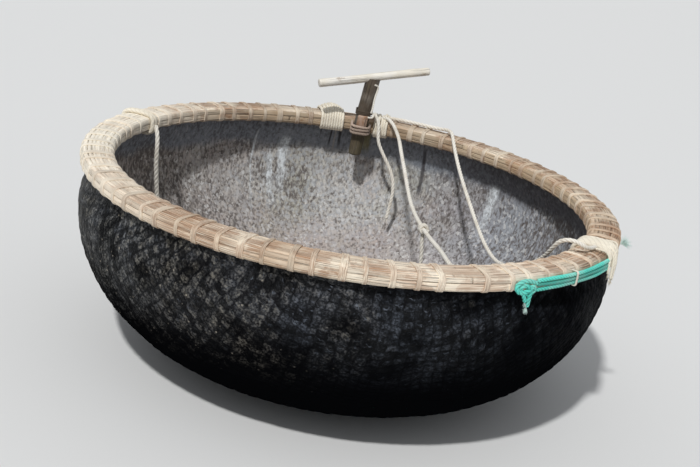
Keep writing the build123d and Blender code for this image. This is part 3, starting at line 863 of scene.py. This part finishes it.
makeWeave()
makeStainAndShadowStripe()
tar = outsideMaterial(outsideLook)
for name in ("hullOutside", "hullBilge", "hullFoot"):
    makeSkin(name, outsideWear, tar)
makeSkin("hullInside", insideWear, insideMaterial(insideLook))
print("hull woven")


# Rim: split bamboo laid side by side round its section, bound with cane
rim = {
    "radius": 0.939, "mid": 0.710, "wide": 0.115, "high": 0.058, "round": 0.017, "crown": 0.007,
    "wallInner": 0.950, "wallOuter": 0.962, "around": 520, "section": 12, "splintThick": 0.0075,
    "wander": 0.0022, "bulge": 0.0010, "lengthFrom": 1.6, "lengthTo": 3.0, "topRows": 7,
}
half, low = rim["wide"] / 2, rim["mid"] - rim["high"] / 2
wallIn, wallOut = (rim[key] - rim["radius"] for key in ("wallInner", "wallOuter"))


def rimOutline():
    # the rim's section: flat sides and bottom joined by rounds, and a top that is the arc of a large
    # circle; running lengths start under the wall and go round by the inner side, the top and the outer side
    top, small = low + rim["high"], rim["round"]
    big = (half ** 2 + rim["crown"] ** 2) / (2 * rim["crown"])
    t = np.linspace(0, tau / 4, 12)[:, None]
    corner = np.array([-(half - small), low + small]) + small * np.concatenate([-np.sin(t), -np.cos(t)], 1)
    # the upper round touches the side and the crown from inside
    middle = np.array([-(half - small), top - big + math.sqrt((big - small) ** 2 - (half - small) ** 2)])
    until = math.pi - math.atan2(middle[1] - (top - big), -middle[0])
    arcs = [np.array([[0.0, low], [-(half - small), low]]), corner]
    for centre, size, first, last, count in ((middle, small, math.pi, until, 12),
                                             (np.array([0, top - big]), big, until, tau / 4, 24)):
        t = np.linspace(first, last, count)[:, None]
        arcs.append(centre + size * np.concatenate([np.cos(t), np.sin(t)], 1))
    left = np.concatenate(arcs)
    whole = join(left, left[::-1] * [-1, 1])
    whole = whole[join([True], np.linalg.norm(np.diff(whole, axis=0), axis=1) > 1e-6)]
    return alongLine(whole), whole


outlineFar, outlinePlaces = rimOutline()
outlineLength = outlineFar[-1]


def onOutline(at, lift=0.0):
    # place and outward direction at a running length round the rim's section, lifted off it
    def spot(far):
        far = np.mod(far, outlineLength)
        return [np.interp(far, outlineFar, outlinePlaces[:, k]) for k in range(2)]

    at = np.mod(at, outlineLength)
    (x, z), (x2, z2), (x1, z1) = spot(at), spot(at + 0.0008), spot(at - 0.0008)
    size = np.hypot(x2 - x1, z2 - z1)
    outX, outZ = -(z2 - z1) / size, (x2 - x1) / size
    return x + lift * outX, z + lift * outZ, outX, outZ


# cane bands: the angles that the frame's bands have, in its four widths
bands = {
    "count": 78, "drift": 0.45, "widths": (0.014, 0.020, 0.017, 0.024), "path": 34, "thick": 0.0032, "strand": 0.0052,
    "taken": [(-69.8, -66.2), (-45.0, -42.2), (-31.0, -21.6), (81.6, 90.8), (91.2, 101.0), (154.2, 157.8)],
}


def bandPlaces():
    # an even step round the rim plus a small sine drift, without the places that rope takes
    number = np.arange(bands["count"])
    angle = -180 + 360 * number / bands["count"] + bands["drift"] * np.sin(2.7 * number)
    free = np.ones(len(number), bool)
    for first, last in bands["taken"]:
        free &= ~((angle > first) & (angle < last))
    return np.radians(angle[free]), np.array(bands["widths"])[number[free] % 4]


bandAngles, bandWidths = bandPlaces()


def bleaching(turn):
    # how white the sun has made the rim: most on the left, some at the front right
    return np.clip(0.94 * bump(turn, 182, 47, 4) + 0.45 * bump(turn, -62, 22) + 0.06, 0, 1)


def freshness(turn):
    # how light the wood is: lightest at the front right, brown at the front left, tan on the far side
    return 0.24 * bump(turn, -60, 24) - 0.02 * bump(turn, -122, 14) - 0.26 * bump(turn, 92, 46)


def splintPart(at, first, last, seed, width):
    # one length of split bamboo: a rounded rectangle (a circle whose sine and cosine are raised to a
    # power below one) carried round the boat, wandering a little across the rim and swelling between bands
    turn = np.linspace(first, last, max(8, int(rim["around"] * (last - first) / tau)))
    thick = rim["splintThick"]
    random = np.random.default_rng(seed)
    lean = random.uniform(-0.10, 0.10)
    away = np.abs((turn[:, None] - bandAngles[None] + math.pi) % tau - math.pi).min(1) * rim["radius"]
    swell = rim["bulge"] * (1 - bell(away, 0.020))
    across = at + rim["wander"] * waves(turn, seed, 10, 2) + 0.0006 * waves(turn, seed + 7, 12, 22)
    lift = -thick / 2 - 0.0012 + swell + 0.0007 * waves(turn, seed + 3, 10, 5)
    x, z, outX, outZ = (values[:, None] for values in onOutline(across, lift))
    point = ring(rim["section"])
    a = width / 2 * squarish(np.cos(point), 0.55) * (1 + 0.08 * waves(turn, seed + 11, 8, 3))[:, None]
    b = thick / 2 * squarish(np.sin(point), 0.55)
    twist = (lean + 0.12 * waves(turn, seed + 5, 8, 2))[:, None]
    a, b = a * np.cos(twist) - b * np.sin(twist), a * np.sin(twist) + b * np.cos(twist)
    places = polar(rim["radius"] + x + a * outZ + b * outX, turn[:, None], z - a * outX + b * outZ)
    far = rim["radius"] * turn
    uv = gridOf(np.append(far, far[-1]), np.append(point, tau) / tau * 2 * (width + thick) + at)
    tone = random.uniform(0.20, 0.76) + 0.28 * waves(turn, seed + 9, 14, 2) + freshness(turn) + 0.2 * bleaching(turn)
    return gridPart(places, uv, np.clip(tone, 0, 1)[:, None], bleaching(turn)[:, None])


def splintsAt(at, seed, width):
    # the lengths that follow each other round the rim at one place of its section, with narrow gaps
    random = np.random.default_rng(seed)
    here = random.uniform(0, tau)
    until, parts = here + tau, []
    while here < until - 1e-6:
        last = here + random.uniform(rim["lengthFrom"], rim["lengthTo"]) / rim["radius"]
        last = until if until - last < 1.0 else last
        gap = random.uniform(0.0015, 0.005) / rim["radius"]
        parts.append(splintPart(at + random.uniform(-0.0012, 0.0012), here + gap / 2, last - gap / 2,
                                int(random.integers(1e6)), width))
        here = last
    return parts


def corePart(side, wall):
    # the inside of a bundle, given a low tone, which is painted shade where it shows between the splints: a ring
    # with a plain six-sided section, from the wall round by the bottom, the side and the top
    top, deep, slope = low + rim["high"] - 0.010, 0.006, 0.02
    x, z = np.array([(wall, low + deep), (side * (half - slope), low + deep), (side * (half - deep), low + slope),
                     (side * (half - deep), top - 0.008), (side * (half - slope), top), (wall, top)]).T
    return gridPart(polar(rim["radius"] + x, ring(120)[:, None], z), tone=0.1, closeRows=True)


def makeRim():
    # places round the section: the inner side and bottom, the top, the outer side and bottom
    sideStart = half - 0.006
    innerTop = sideStart + 0.0470        # running length where the side becomes the crown
    sides = [sideStart - 0.010 + (innerTop - sideStart + 0.012) * (k + 0.5) / 3 for k in range(3)]
    inner = [splintsAt(at, 100 + k, 0.0185) for k, at in enumerate(sides)]
    inner += [splintsAt(0.010 + 0.0165 * k, 120 + k, 0.0160) for k in range(2)]
    outer = [splintsAt(outlineLength - at, 160 + k, 0.0185) for k, at in enumerate(sides)]
    outer += [splintsAt(outlineLength - 0.0335, 180, 0.0150)]
    count = rim["topRows"]
    first, last = innerTop + 0.004, outlineLength - innerTop - 0.004
    topRows = [splintsAt(first + (last - first) * (k + 0.5) / count, 140 + k, (last - first) / count * 0.97)
               for k in range(count)]
    finishes = {name: stripMaterial(name, look) for name, look in splintLooks.items()}
    inner = sum(inner, []) + [corePart(-1, wallIn - 0.001)]
    outer = sum(outer, []) + [corePart(1, wallOut + 0.001)]
    makePiece("innerSplints", inner, finishes["splintInner"], ["inner_hoop"])
    makePiece("outerSplints", outer, finishes["splintOuter"], ["outer_hoop"])
    makePiece("topSplints", sum(topRows, []), finishes["splintTop"],
              [f"{place}_cap_splint" for place in ("inner", "middle", "outer")])


timberBase = {
    "tan": (0.65, 0.495, 0.35), "pale": (0.97, 0.865, 0.70), "streak": (0.42, 0.275, 0.17),
    "brown": (0.35, 0.18, 0.095), "dirt": (0.055, 0.038, 0.028), "grainLength": 0.11, "grainWidth": 0.0028,
    "bleachSize": 0.30, "bleachShare": 0.5, "stainSize": 0.085, "stainShare": 0.54, "streakShare": 0.62,
    "splitShare": 0.80, "brownShare": 1.0, "drift": 0.80, "rough": 0.72, "bump": 0.6, "bumpDeep": 0.0014,
}
splintBase = {**timberBase, "bleached": (0.86, 0.795, 0.675)}
splintLooks = {
    "splintTop": {**splintBase, "wornPlace": (-0.52, -0.76, 0.74), "wornReach": 0.24},
    "splintInner": {**splintBase, "tan": (0.59, 0.43, 0.265), "pale": (0.74, 0.60, 0.42), "stainShare": 0.36},
    "splintOuter": {**splintBase, "stainShare": 0.40, "wornPlace": (-0.50, -0.86, 0.71), "wornReach": 0.20},
}
caneLook = {
    **splintBase, "tan": (0.70, 0.560, 0.415), "pale": (0.96, 0.860, 0.70), "streak": (0.50, 0.36, 0.24),
    "grainLength": 0.05, "grainWidth": 0.0016, "brownShare": 0.8, "splitShare": 0.4, "drift": 0.6, "rough": 0.66,
    "bumpDeep": 0.0008,
}


def bandPart(angle, width, seed):
    # strips of cane side by side: a path round the rim's section, open where the wall comes through, and
    # across it the strips' rounded backs, each the upper half of a sine wave
    random = np.random.default_rng(seed)
    strands = max(2, int(round(width / bands["strand"])))
    at = np.linspace(-wallIn + 0.0006, outlineLength - wallOut - 0.0006, bands["path"])
    c = np.linspace(-1, 1, 4 * strands + 1)
    lobe = np.abs(np.sin(math.pi * (c + 1) / 2 * strands))
    x0, z0, outX, outZ = onOutline(at)
    circle = at / outlineLength * tau
    wave = waves(circle, seed, 6, 1)
    tilt = random.uniform(-0.035, 0.035)
    slide = (tilt * np.cos(circle) * 0.06 + 0.0012 * wave)[:, None] + c * width / 2
    slide = slide * (1 + 0.07 * waves(circle, seed + 1, 6, 1))[:, None]
    rise = 0.0004 + bands["thick"] * (0.45 + 0.55 * lobe[None] ** 0.6) * (1 + 0.10 * wave[:, None])
    lift = np.concatenate([np.minimum(rise, 0.0036), np.full((len(at), 2), -0.0016)], 1)
    slide = np.concatenate([slide, slide[:, -1:], slide[:, :1]], 1)
    r, z = rim["radius"] + x0[:, None] + lift * outX[:, None], z0[:, None] + lift * outZ[:, None]
    # slide runs along the rim's tangent at the band's angle
    cos, sin = math.cos(angle), math.sin(angle)
    places = np.stack([r * cos - slide * sin, r * sin + slide * cos, z], -1)
    v = join(c * width / 2, [width / 2, -width / 2, -width / 2]) + angle * 3
    tone = np.clip(random.uniform(0.30, 0.72) + 0.12 * wave + freshness(np.array(angle)), 0, 1)[:, None]
    return gridPart(places, gridOf(np.append(at, at[-1]) + angle * 7, v), tone, bleaching(np.array(angle)))


makeRim()
caneParts = [bandPart(angle, width, 300 + k) for k, (angle, width) in enumerate(zip(bandAngles, bandWidths))]
makePiece("caneBands", caneParts, stripMaterial("caneStrip", caneLook),
          [f"rim_lashings_{k}" for k in (1, 2, 3, 4)])
print("rim bound")


# Timber: the oar post, its crossbar, the peg and the wedge
post = {
    "angle": 87.7, "reach": 0.8512, "rings": [(0.588, -0.007, 0.027), (0.735, 0.0, 0.030), (0.926, 0.019, 0.031)],
    "columns": 40, "rows": 90, "flutes": 0.0009, "top": 0.931,
    "knots": [(0.655, 1.1, 0.0026), (0.842, 4.2, 0.0034), (0.79, 2.4, 0.0018)],
}
bar = {
    "start": (-172.65, 768.51, 891.35), "end": (290.20, 934.23, 982.47), "radius": 0.0176, "bend": 0.0026,
    "columns": 32, "rows": 150, "slack": 0.0004,
    "knots": [(0.17, 2.6, 0.0016), (0.41, 0.6, 0.0022), (0.66, 4.0, 0.0015), (0.86, 1.5, 0.0020)],
}
wedge = {"low": 0.684, "high": 0.770, "half": 0.022, "thin": 0.009, "thick": 0.017, "lean": 0.004}
postOut, postAlong = rimWays(post["angle"])
postAlong = -postAlong        # to the right, seen from inside the boat
postHeights, postDrifts, postSizes = np.array(post["rings"]).T
barStart, barEnd = np.array(bar["start"]) * mm, np.array(bar["end"]) * mm
barWay = unit(barEnd - barStart)


def postPlace(x, y, z):
    # place from the post's own directions: along the rim, outwards and up
    x, y, z = (value[..., None] for value in np.broadcast_arrays(x, y, z))
    return post["reach"] * postOut + x * postAlong + y * postOut + z * up


def underBar(places):
    # height of the bar's underside over or under each place: its axis there less the half chord
    size = bar["radius"] + bar["slack"]
    level = (places - barStart)[..., :2]
    share = (level @ barWay[:2]) / (barWay[:2] @ barWay[:2])
    off = np.linalg.norm(level - share[..., None] * barWay[:2], axis=-1)
    return (barStart + share[..., None] * barWay)[..., 2] - size * np.sqrt(1 - np.minimum(off / size, 1) ** 2)


def knotRelief(far, around, knots, long, wide):
    # smooth swellings, each a bell along the wood and a bell round it
    relief = np.zeros(np.broadcast(far, around).shape)
    for at, turn, high in knots:
        away = (around - turn + math.pi) % tau - math.pi
        relief += high * np.exp(-((far - at) / long) ** 2 - (away / wide) ** 2)
    return relief


def fluteRelief(far, around, deep, seed):
    # flutes that run along the wood: sine waves round it with a slow wander
    wander = waves(np.ravel(far) * 12, seed, 6, 1).reshape(np.shape(far))
    return sum(deep * 0.5 * np.sin(number * around + 2.1 * k + 0.8 * wander) * (1 + 0.4 * wander)
               for k, number in enumerate((3, 5, 8, 13)))


def makePost():
    # rings up the drifting axis, with the top hollowed to the bar that it carries; then rings that close it
    z = np.linspace(postHeights[0], 0.948, post["rows"])[:, None]
    turn = ring(post["columns"])[None]
    size = np.interp(z, postHeights, postSizes) + (
        knotRelief(z, turn, post["knots"], 0.014, 0.6) + fluteRelief(z, turn, post["flutes"], 5))
    size = size - 0.005 * (1 - np.clip((z - postHeights[0]) / 0.006, 0, 1)) ** 2
    drift = np.interp(z, postHeights, postDrifts) + np.maximum(z - postHeights[-1], 0) * 0.1
    side = postPlace(drift + size * np.cos(turn), size * np.sin(turn), z)
    lid = np.minimum(underBar(side), post["top"] + 0.001 * np.sin(3 * turn))
    side[..., 2] = np.minimum(side[..., 2], lid)
    share = np.linspace(0.93, 0.03, 12)[:, None]
    inner = side[-1:] * share[..., None] + side[-1:].mean(1, keepdims=True) * (1 - share[..., None])
    inner[..., 2] = np.minimum(underBar(inner), post["top"])
    far = join(z[:, 0], 0.93 + 0.03 * (1 - share[:, 0]))
    tone = join(0.5 + 0.25 * waves(z[:, 0] * 20, 9, 6, 1), np.full(12, 0.6))[:, None]
    part = gridPart(join(side, inner), gridOf(far, np.append(turn[0], tau) * 0.03), np.clip(tone, 0, 1))
    makePiece("oarPost", [part], stripMaterial("darkTimber", darkLook), ["oar_post"])


def makeBar():
    # a slightly bent and tapered pole with its ends sawn square
    t = np.linspace(0, 1, bar["rows"])
    full = np.linalg.norm(barEnd - barStart)
    turn = ring(bar["columns"])
    line = barStart + t[:, None] * (barEnd - barStart)
    line = line - bar["bend"] * (np.sin(math.pi * t) ** 2 * np.cos(math.pi * t))[:, None] * up
    flat = unit(np.cross(barWay, up))
    seat = bell((t - 0.49) * full, 0.05)
    relief = fluteRelief(t[:, None], turn[None], 0.0006, 15) * (1 - seat)[:, None]
    relief = relief + knotRelief(t[:, None], turn[None], bar["knots"], 0.010 / full, 0.55)
    size = bar["radius"] * (1.01 - 0.03 * t) - 0.0002 - 0.0016 * bell(np.minimum(t, 1 - t) * full, 0.0016)
    side, normal = (np.broadcast_to(way, line.shape) for way in (flat, np.cross(flat, barWay)))
    places = carried(line, size[:, None] + relief, turn[None], side, normal)
    ends = [places[[k]] * 0.45 + line[[k], None] * 0.55 for k in (0, -1)]
    far = join([-0.01], t * full, [full + 0.01])
    tone = join([0.2], 0.55 + 0.2 * waves(t * 9, 19, 6, 1), [0.25])[:, None]
    part = gridPart(join(ends[0], places, ends[1]), gridOf(far, np.append(turn, tau) * bar["radius"]),
                    np.clip(tone, 0, 1))
    makePiece("crossBar", [part], stripMaterial("peeledTimber", peeledLook), ["crossbar"])


def makeWedge():
    # a rounded rectangle carried upwards while it thickens, bowed out over the post that it lies on
    high = wedge["high"] - wedge["low"]
    z = np.linspace(wedge["low"], wedge["high"], 30)[:, None]
    t = (z - wedge["low"]) / high
    turn = ring(36)[None]
    edge = 1 - 0.10 * bell(np.minimum(t, 1 - t) * high, 0.003)
    thick = wedge["thin"] + (wedge["thick"] - wedge["thin"]) * t
    x = wedge["half"] * edge * squarish(np.cos(turn), 0.35)
    y = thick / 2 * edge * squarish(np.sin(turn), 0.45)
    postSize = np.interp(z, postHeights, postSizes)
    bow = np.sqrt(np.maximum(postSize ** 2 - x ** 2 * 0.92, 1e-6))
    splits = 0.0005 * np.sin(x / 0.0023 + 2 * np.sin(z / 0.03))
    out = -(bow * 0.55 + postSize * 0.45) - thick / 2 + 0.001 - y + splits * (y > 0)
    uv = gridOf(z[:, 0], np.append(turn[0], tau) * 0.012)
    part = gridPart(postPlace(x + wedge["lean"] * t, out, z), uv, 0.5 + 0.2 * np.sin(z / 0.02))
    makePiece("postWedge", [part], stripMaterial("wedgeBamboo", wedgeLook), ["post_wedge"])


darkLook = {
    **timberBase, "tan": (0.115, 0.088, 0.062), "pale": (0.20, 0.175, 0.145), "streak": (0.07, 0.048, 0.033),
    "brown": (0.090, 0.078, 0.036), "dirt": (0.012, 0.009, 0.007), "grainLength": 0.10, "grainWidth": 0.0035,
    "bleachSize": 0.09, "bleachShare": 0.42, "stainShare": 0.3, "rough": 0.68, "bumpDeep": 0.0016,
    "wornPlace": (0.034, 0.83, 0.60), "wornReach": 0.13,
}
peeledLook = {
    **timberBase, "tan": (0.86, 0.81, 0.70), "pale": (0.94, 0.91, 0.84), "streak": (0.72, 0.63, 0.50),
    "brown": (0.34, 0.22, 0.13), "grainLength": 0.16, "grainWidth": 0.0030, "bleachSize": 0.16, "bleachShare": 0.6,
    "stainSize": 0.06, "stainShare": 0.16, "streakShare": 0.28, "drift": 0.3, "rough": 0.6, "bumpDeep": 0.0010,
}
wedgeLook = {**timberBase, "tan": (0.52, 0.37, 0.29), "pale": (0.70, 0.57, 0.48), "stainShare": 0.5, "stainSize": 0.03}
makePost()
makeBar()
makeWedge()
pegTimber = stripMaterial("pegTimber", {**darkLook, "fromPlace": True})        # the frame's mesh has no uv
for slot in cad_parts["crossbar_peg"].material_slots:
    slot.link = "OBJECT"
    slot.material = pegTimber
print("timber made")


# Turns of rope round the rim: the section's outline, pushed out by half a rope, while the angle creeps on
rimTurns = {
    "rimWrap": {"node": "rim_wrap", "angle": 96.0, "turns": 9, "thick": 0.012, "seed": 5, "arch": 0.022},
    "ropeHitch": {"node": "rope_hitch", "angle": 83.4, "turns": 2, "thick": 0.014, "seed": 6, "arch": 0.004},
    "sideHitch": {"node": "side_rope_hitch", "angle": 156.0, "turns": 2, "thick": 0.016, "seed": 7, "arch": 0.0},
    "cornerTurns": {"node": "corner_lashing", "angle": -26.2, "turns": 6, "thick": 0.016, "seed": 8, "arch": 0.003},
    "hitchLoops": {"node": None, "angle": 81.3, "turns": 3, "thick": 0.011, "seed": 9, "arch": 0.012},
}


def rimTurnPart(look):
    turns, thick = look["turns"], look["thick"]
    t = np.linspace(0, turns, int(turns * outlineLength / 0.0035))
    x, z, _, outZ = onOutline(t * outlineLength, thick / 2 + 0.0008)
    # the middle turns stand up off the top of the rim in an arch
    rise = look["arch"] * np.sin(math.pi * np.clip(t / turns, 0, 1)) * np.clip(outZ, 0, 1)
    z = z + rise * np.clip(1.2 + 12 * x, 0, 1)
    slide = (t - turns / 2) * thick * 0.98 + 0.0012 * waves(t * 3.1, look["seed"], 8, 1)
    turn = math.radians(look["angle"]) + slide / rim["radius"]
    line = polar(rim["radius"] + x, turn, z)
    return ropePart(line, thick * 1.10, 3.4, look["seed"], groove=0.08, flat=rimWays(look["angle"])[1], tone=0.85)


for name, look in rimTurns.items():
    makePiece(name, [rimTurnPart(look)], ropeCream, [look["node"]] if look["node"] else [])


# Post hitch, post lashing and knots: short windings worked out as helices or drawn through a few places
def helixLine(centre, way, across, radius, pitch, turns, start):
    # a circle round the way that moves on by one pitch in each turn
    way = unit(np.array(way))
    across = unit(np.array(across) - np.dot(across, way) * way)
    other = np.cross(way, across)
    t = np.linspace(0, turns, max(8, int(turns * tau * radius / 0.002)))
    angle = (tau * t + start)[:, None]
    return (np.array(centre) + radius * (np.cos(angle) * across + np.sin(angle) * other)
            + ((t - turns / 2) * pitch)[:, None] * way)


def postRoute(name, places, step):
    return routeLine(name, [1000 * postPlace(*place) for place in places], step)


cord = [(0.024, -0.040, 0.768), (0.040, -0.036, 0.764), (0.048, -0.022, 0.774), (0.040, -0.018, 0.788),
        (0.033, -0.030, 0.784), (0.038, -0.030, 0.800), (0.039, -0.020, 0.850), (0.047, -0.016, 0.890),
        (0.045, -0.018, 0.905), (0.030, -0.029, 0.909)]
lashing = {"heights": (0.694, 0.708, 0.722), "half": 0.038, "reach": 0.052, "slope": 0.016, "back": 0.0293}


def makeLashing():
    # each turn is a rounded path round the post and its wedge, from the inner hoop and back to it
    a, b, c, d = (lashing[key] for key in ("half", "reach", "slope", "back"))
    shape = [(-a, d), (-a, 0.0), (-a, -b + c), (-a + c * 0.7, -b + 0.001), (0, -b), (a - c * 0.7, -b + 0.001),
             (a, -b + c), (a, 0.0), (a, d)]
    parts = []
    for k, height in enumerate(lashing["heights"]):
        drop = 0.0016 * math.sin(2.2 * k)
        line = postRoute("lashing", [(x, y, height + drop * x / a) for x, y in shape], 0.0025)
        # bleached on the left, browned on the right, where the wedge is; darker on the lower turns, which is painted
        # shade
        tone = np.linspace(1.0, 0.1, len(line)) - 0.3 * (2 - k)
        parts.append(ropePart(line, 0.0122, 3.2, 41 + k, flat=up, tone=tone))
    makePiece("postLashing", parts, ropeTan, ["post_lashing"])


def makeHitch():
    hitch = helixLine(postPlace(0.0045, 0.0, 0.781), up, postOut, 0.0338, 0.0062, 3.2, 0.4)
    makePiece("postHitch", [ropePart(hitch, 0.0064, 3.4, 31, flat=up)], ropeDark, ["post_hitch"])
    thin = ropePart(postRoute("postCord", cord, 0.002), 0.0080, 3.4, 32, tone=0.9)
    makePiece("postCord", [thin], ropeWhite)


def makeKnots():
    # the crossing rope's knot: turns wound round it
    way = np.array([0.083, -0.99, 0.099])
    turns = helixLine([0.2673, -0.222, 0.6405], way, up, 0.0132, 0.0125, 2.6, 1.0)
    makePiece("ropeKnot", [ropePart(turns, 0.0125, 3.3, 51, flat=way)], ropeWhite, ["rope_knot"])
    # the hitch under the near rim that ends it
    out, along = rimWays(-68)
    coil = helixLine(0.8642 * out + 0.708 * up, -along, up, 0.0102, 0.0128, 2.7, 2.0)
    makePiece("nearKnot", [ropePart(coil, 0.0130, 3.3, 52, flat=-along)], ropeWhite, ["near_knot"])


# Green line on the outside of the rim
green = {
    "radius": 1.0087, "heights": (719, 704.5, 690), "tones": (0.95, 0.15, 0.6), "thick": 0.0138, "tuftAngle": -17.5,
    "angles": (-54.2, -49.0, -43.8, -38.6, -33.6, -29.35), "knotAngle": -57.2, "tieAngle": -43.6,
    "knot": [  # along the rim, outwards and height, in millimetres from the knot's place on the rim
        (44, 10, 712), (20, 12, 722), (-12, 12, 724), (-34, 10, 712), (-38, 13, 696), (-20, 18, 684), (6, 19, 692),
        (24, 17, 706), (36, 15, 700), (34, 12, 684), (16, 10, 676), (-8, 11, 682), (-24, 12, 698), (-10, 17, 712),
        (12, 20, 704), (20, 18, 684), (19, 15, 662), (22, 13, 646), (21, 12, 636)],
    "second": [(-14, 16, 690), (-8, 18, 676), (2, 16, 664), (6, 14, 655)],
    "tie": [(992, 728.5), (1004, 729.5), (1015, 729), (1017.6, 724), (1017.8, 704), (1017.6, 685), (1014, 680.6),
            (1004, 680.4), (990, 684)],
}


def makeGreen():
    parts = []
    for k, (height, tone) in enumerate(zip(green["heights"], green["tones"])):
        sway = 1.6 * np.sin(np.arange(len(green["angles"])) * 1.9 + 2.1 * k)
        places = polar(1000 * green["radius"], np.radians(green["angles"]), height + sway)
        parts.append(ropePart(routeLine("greenRoute", places, 0.003), green["thick"], 3.0, 61 + k, tone=tone))
    makePiece("greenStrands", parts, lineGreen, [f"green_strand_{k}" for k in (1, 2, 3)])
    out, along = rimWays(green["knotAngle"])
    routes = ([1000.3 * out + x * along + y * out + z * up for x, y, z in green[key]] for key in ("knot", "second"))
    main, second = (routeLine("greenKnotRoute", route, 0.002) for route in routes)
    knot = [ropePart(main, 0.0155, 3.0, 71, tone=0.6), ropePart(second, 0.0130, 3.0, 72, tone=0.75)]
    makePiece("greenKnot", knot, lineGreen, ["green_knot"])
    tips = frayPart(main, 3, 0.024, 0.010, 56, 73, 0.0010) + frayPart(second, 3, 0.024, 0.010, 50, 74, 0.0010)
    makePiece("greenTips", tips, tuftPale)
    tuftOut = rimWays(green["tuftAngle"])[0]
    spot = 1.001 * tuftOut + 0.722 * up
    tuft = frayPart(np.array([spot - tuftOut - 0.7 * up, spot]), 1, 0.036, 0.030, 90, 75, 0.0012)
    makePiece("cornerTuft", tuft, tuftPale)


# Loose ends of the corner's rope, over the rim's top and down its outer side, each with a frayed end: angle at
# the top and at the end, lowest height, how far out it hangs, thickness and shade
cornerEnds = [(-24.2, -24.8, 0.662, 1.014, 0.0110, 0.9), (-26.0, -26.9, 0.640, 1.020, 0.0120, 1.0),
              (-28.2, -28.0, 0.650, 1.021, 0.0105, 0.7), (-30.2, -29.6, 0.672, 1.016, 0.0095, 0.95),
              (-22.4, -23.0, 0.690, 1.008, 0.0090, 0.8)]


def makeCornerEnds():
    for k, (first, last, lowest, out, thick, tone) in enumerate(cornerEnds):
        reach = [0.958, 0.978, 0.998, out - 0.004, out, out + 0.001]
        rise = [0.7475, 0.7510, 0.7470, 0.726, lowest + 0.026, lowest]
        turn = np.radians(np.linspace(first, last, len(reach)) + 0.35 * np.sin(1.9 * np.arange(len(reach)) + k))
        line = routeLine("cornerEnd", 1000 * polar(np.array(reach), turn, rise), 0.003)
        name = f"cornerEnd{k + 1}"
        piece = makePiece(name, [ropePart(line, thick, 3.2, 91 + k, tone=tone)], ropeCream)
        fibres = frayPart(line, 3, 0.020, 0.010, 22, 95 + k, 0.0008)
        fray = makePiece(name + "Fray", fibres, ropeCream)


def makeTie():
    # two turns of thin line round the green strands, from the hoop and back to it
    out, along = rimWays(green["tieAngle"])
    parts = []
    for k, shift in enumerate((-2.6, 2.2)):
        line = routeLine("tieRoute", [x * out + shift * along + z * up for x, z in green["tie"]], 0.002)
        parts.append(ropePart(line, 0.0048, 3.2, 81 + k, flat=along, tone=0.7))
    makePiece("greenTie", parts, ropeWhite, ["green_tie"])


makeHitch()
makeLashing()
makeKnots()
makeGreen()
makeCornerEnds()
makeTie()
print("knots and green line made")
makeRopes()
print("ropes laid")


# Floor and light: a plain pale floor, a high soft lamp and a pale sky
stage = {
    "floorHalf": 30.0, "floor": (0.80, 0.80, 0.79), "lampWay": (-0.220, -0.604, 0.766), "lampPower": 2.2,
    "lampSoft": 3.0, "sky": (0.93, 0.96, 1.0), "skyPower": 0.40, "backdrop": (0.88, 0.88, 0.87),
}


def makeStage():
    half = stage["floorHalf"]
    mesh = bpy.data.meshes.new("floor")
    mesh.from_pydata([(-half, -half, 0), (half, -half, 0), (half, half, 0), (-half, half, 0)], [], [(0, 1, 2, 3)])
    material, shader, _, _ = newMaterial("floorPale")
    wire(shader, {"Base Color": stage["floor"], "Roughness": 0.9})
    mesh.materials.append(material)
    addObject("floor", mesh)
    lamp = bpy.data.lights.new("lamp", "SUN")
    lamp.energy = stage["lampPower"]
    lamp.angle = math.radians(stage["lampSoft"])
    addObject("lamp", lamp).rotation_euler = Vector(stage["lampWay"]).to_track_quat("Z", "Y").to_euler()
    scene.world = world = bpy.data.worlds.new("sky")
    world.use_nodes = True
    now["tree"] = world.node_tree
    world.node_tree.nodes.clear()
    light = put("Background", {"Color": stage["sky"], "Strength": stage["skyPower"]}).outputs[0]
    seen = put("Background", {"Color": stage["backdrop"], "Strength": 1.0}).outputs[0]
    rays = put("LightPath", {}).outputs
    either = most(rays["Is Camera Ray"], rays["Is Transmission Ray"])
    wire(put("OutputWorld", {}), {0: put("MixShader", {0: either, 1: light, 2: seen}).outputs[0]})
    scene.view_settings.view_transform = "Standard"


makeStage()
print("floor and light ready")
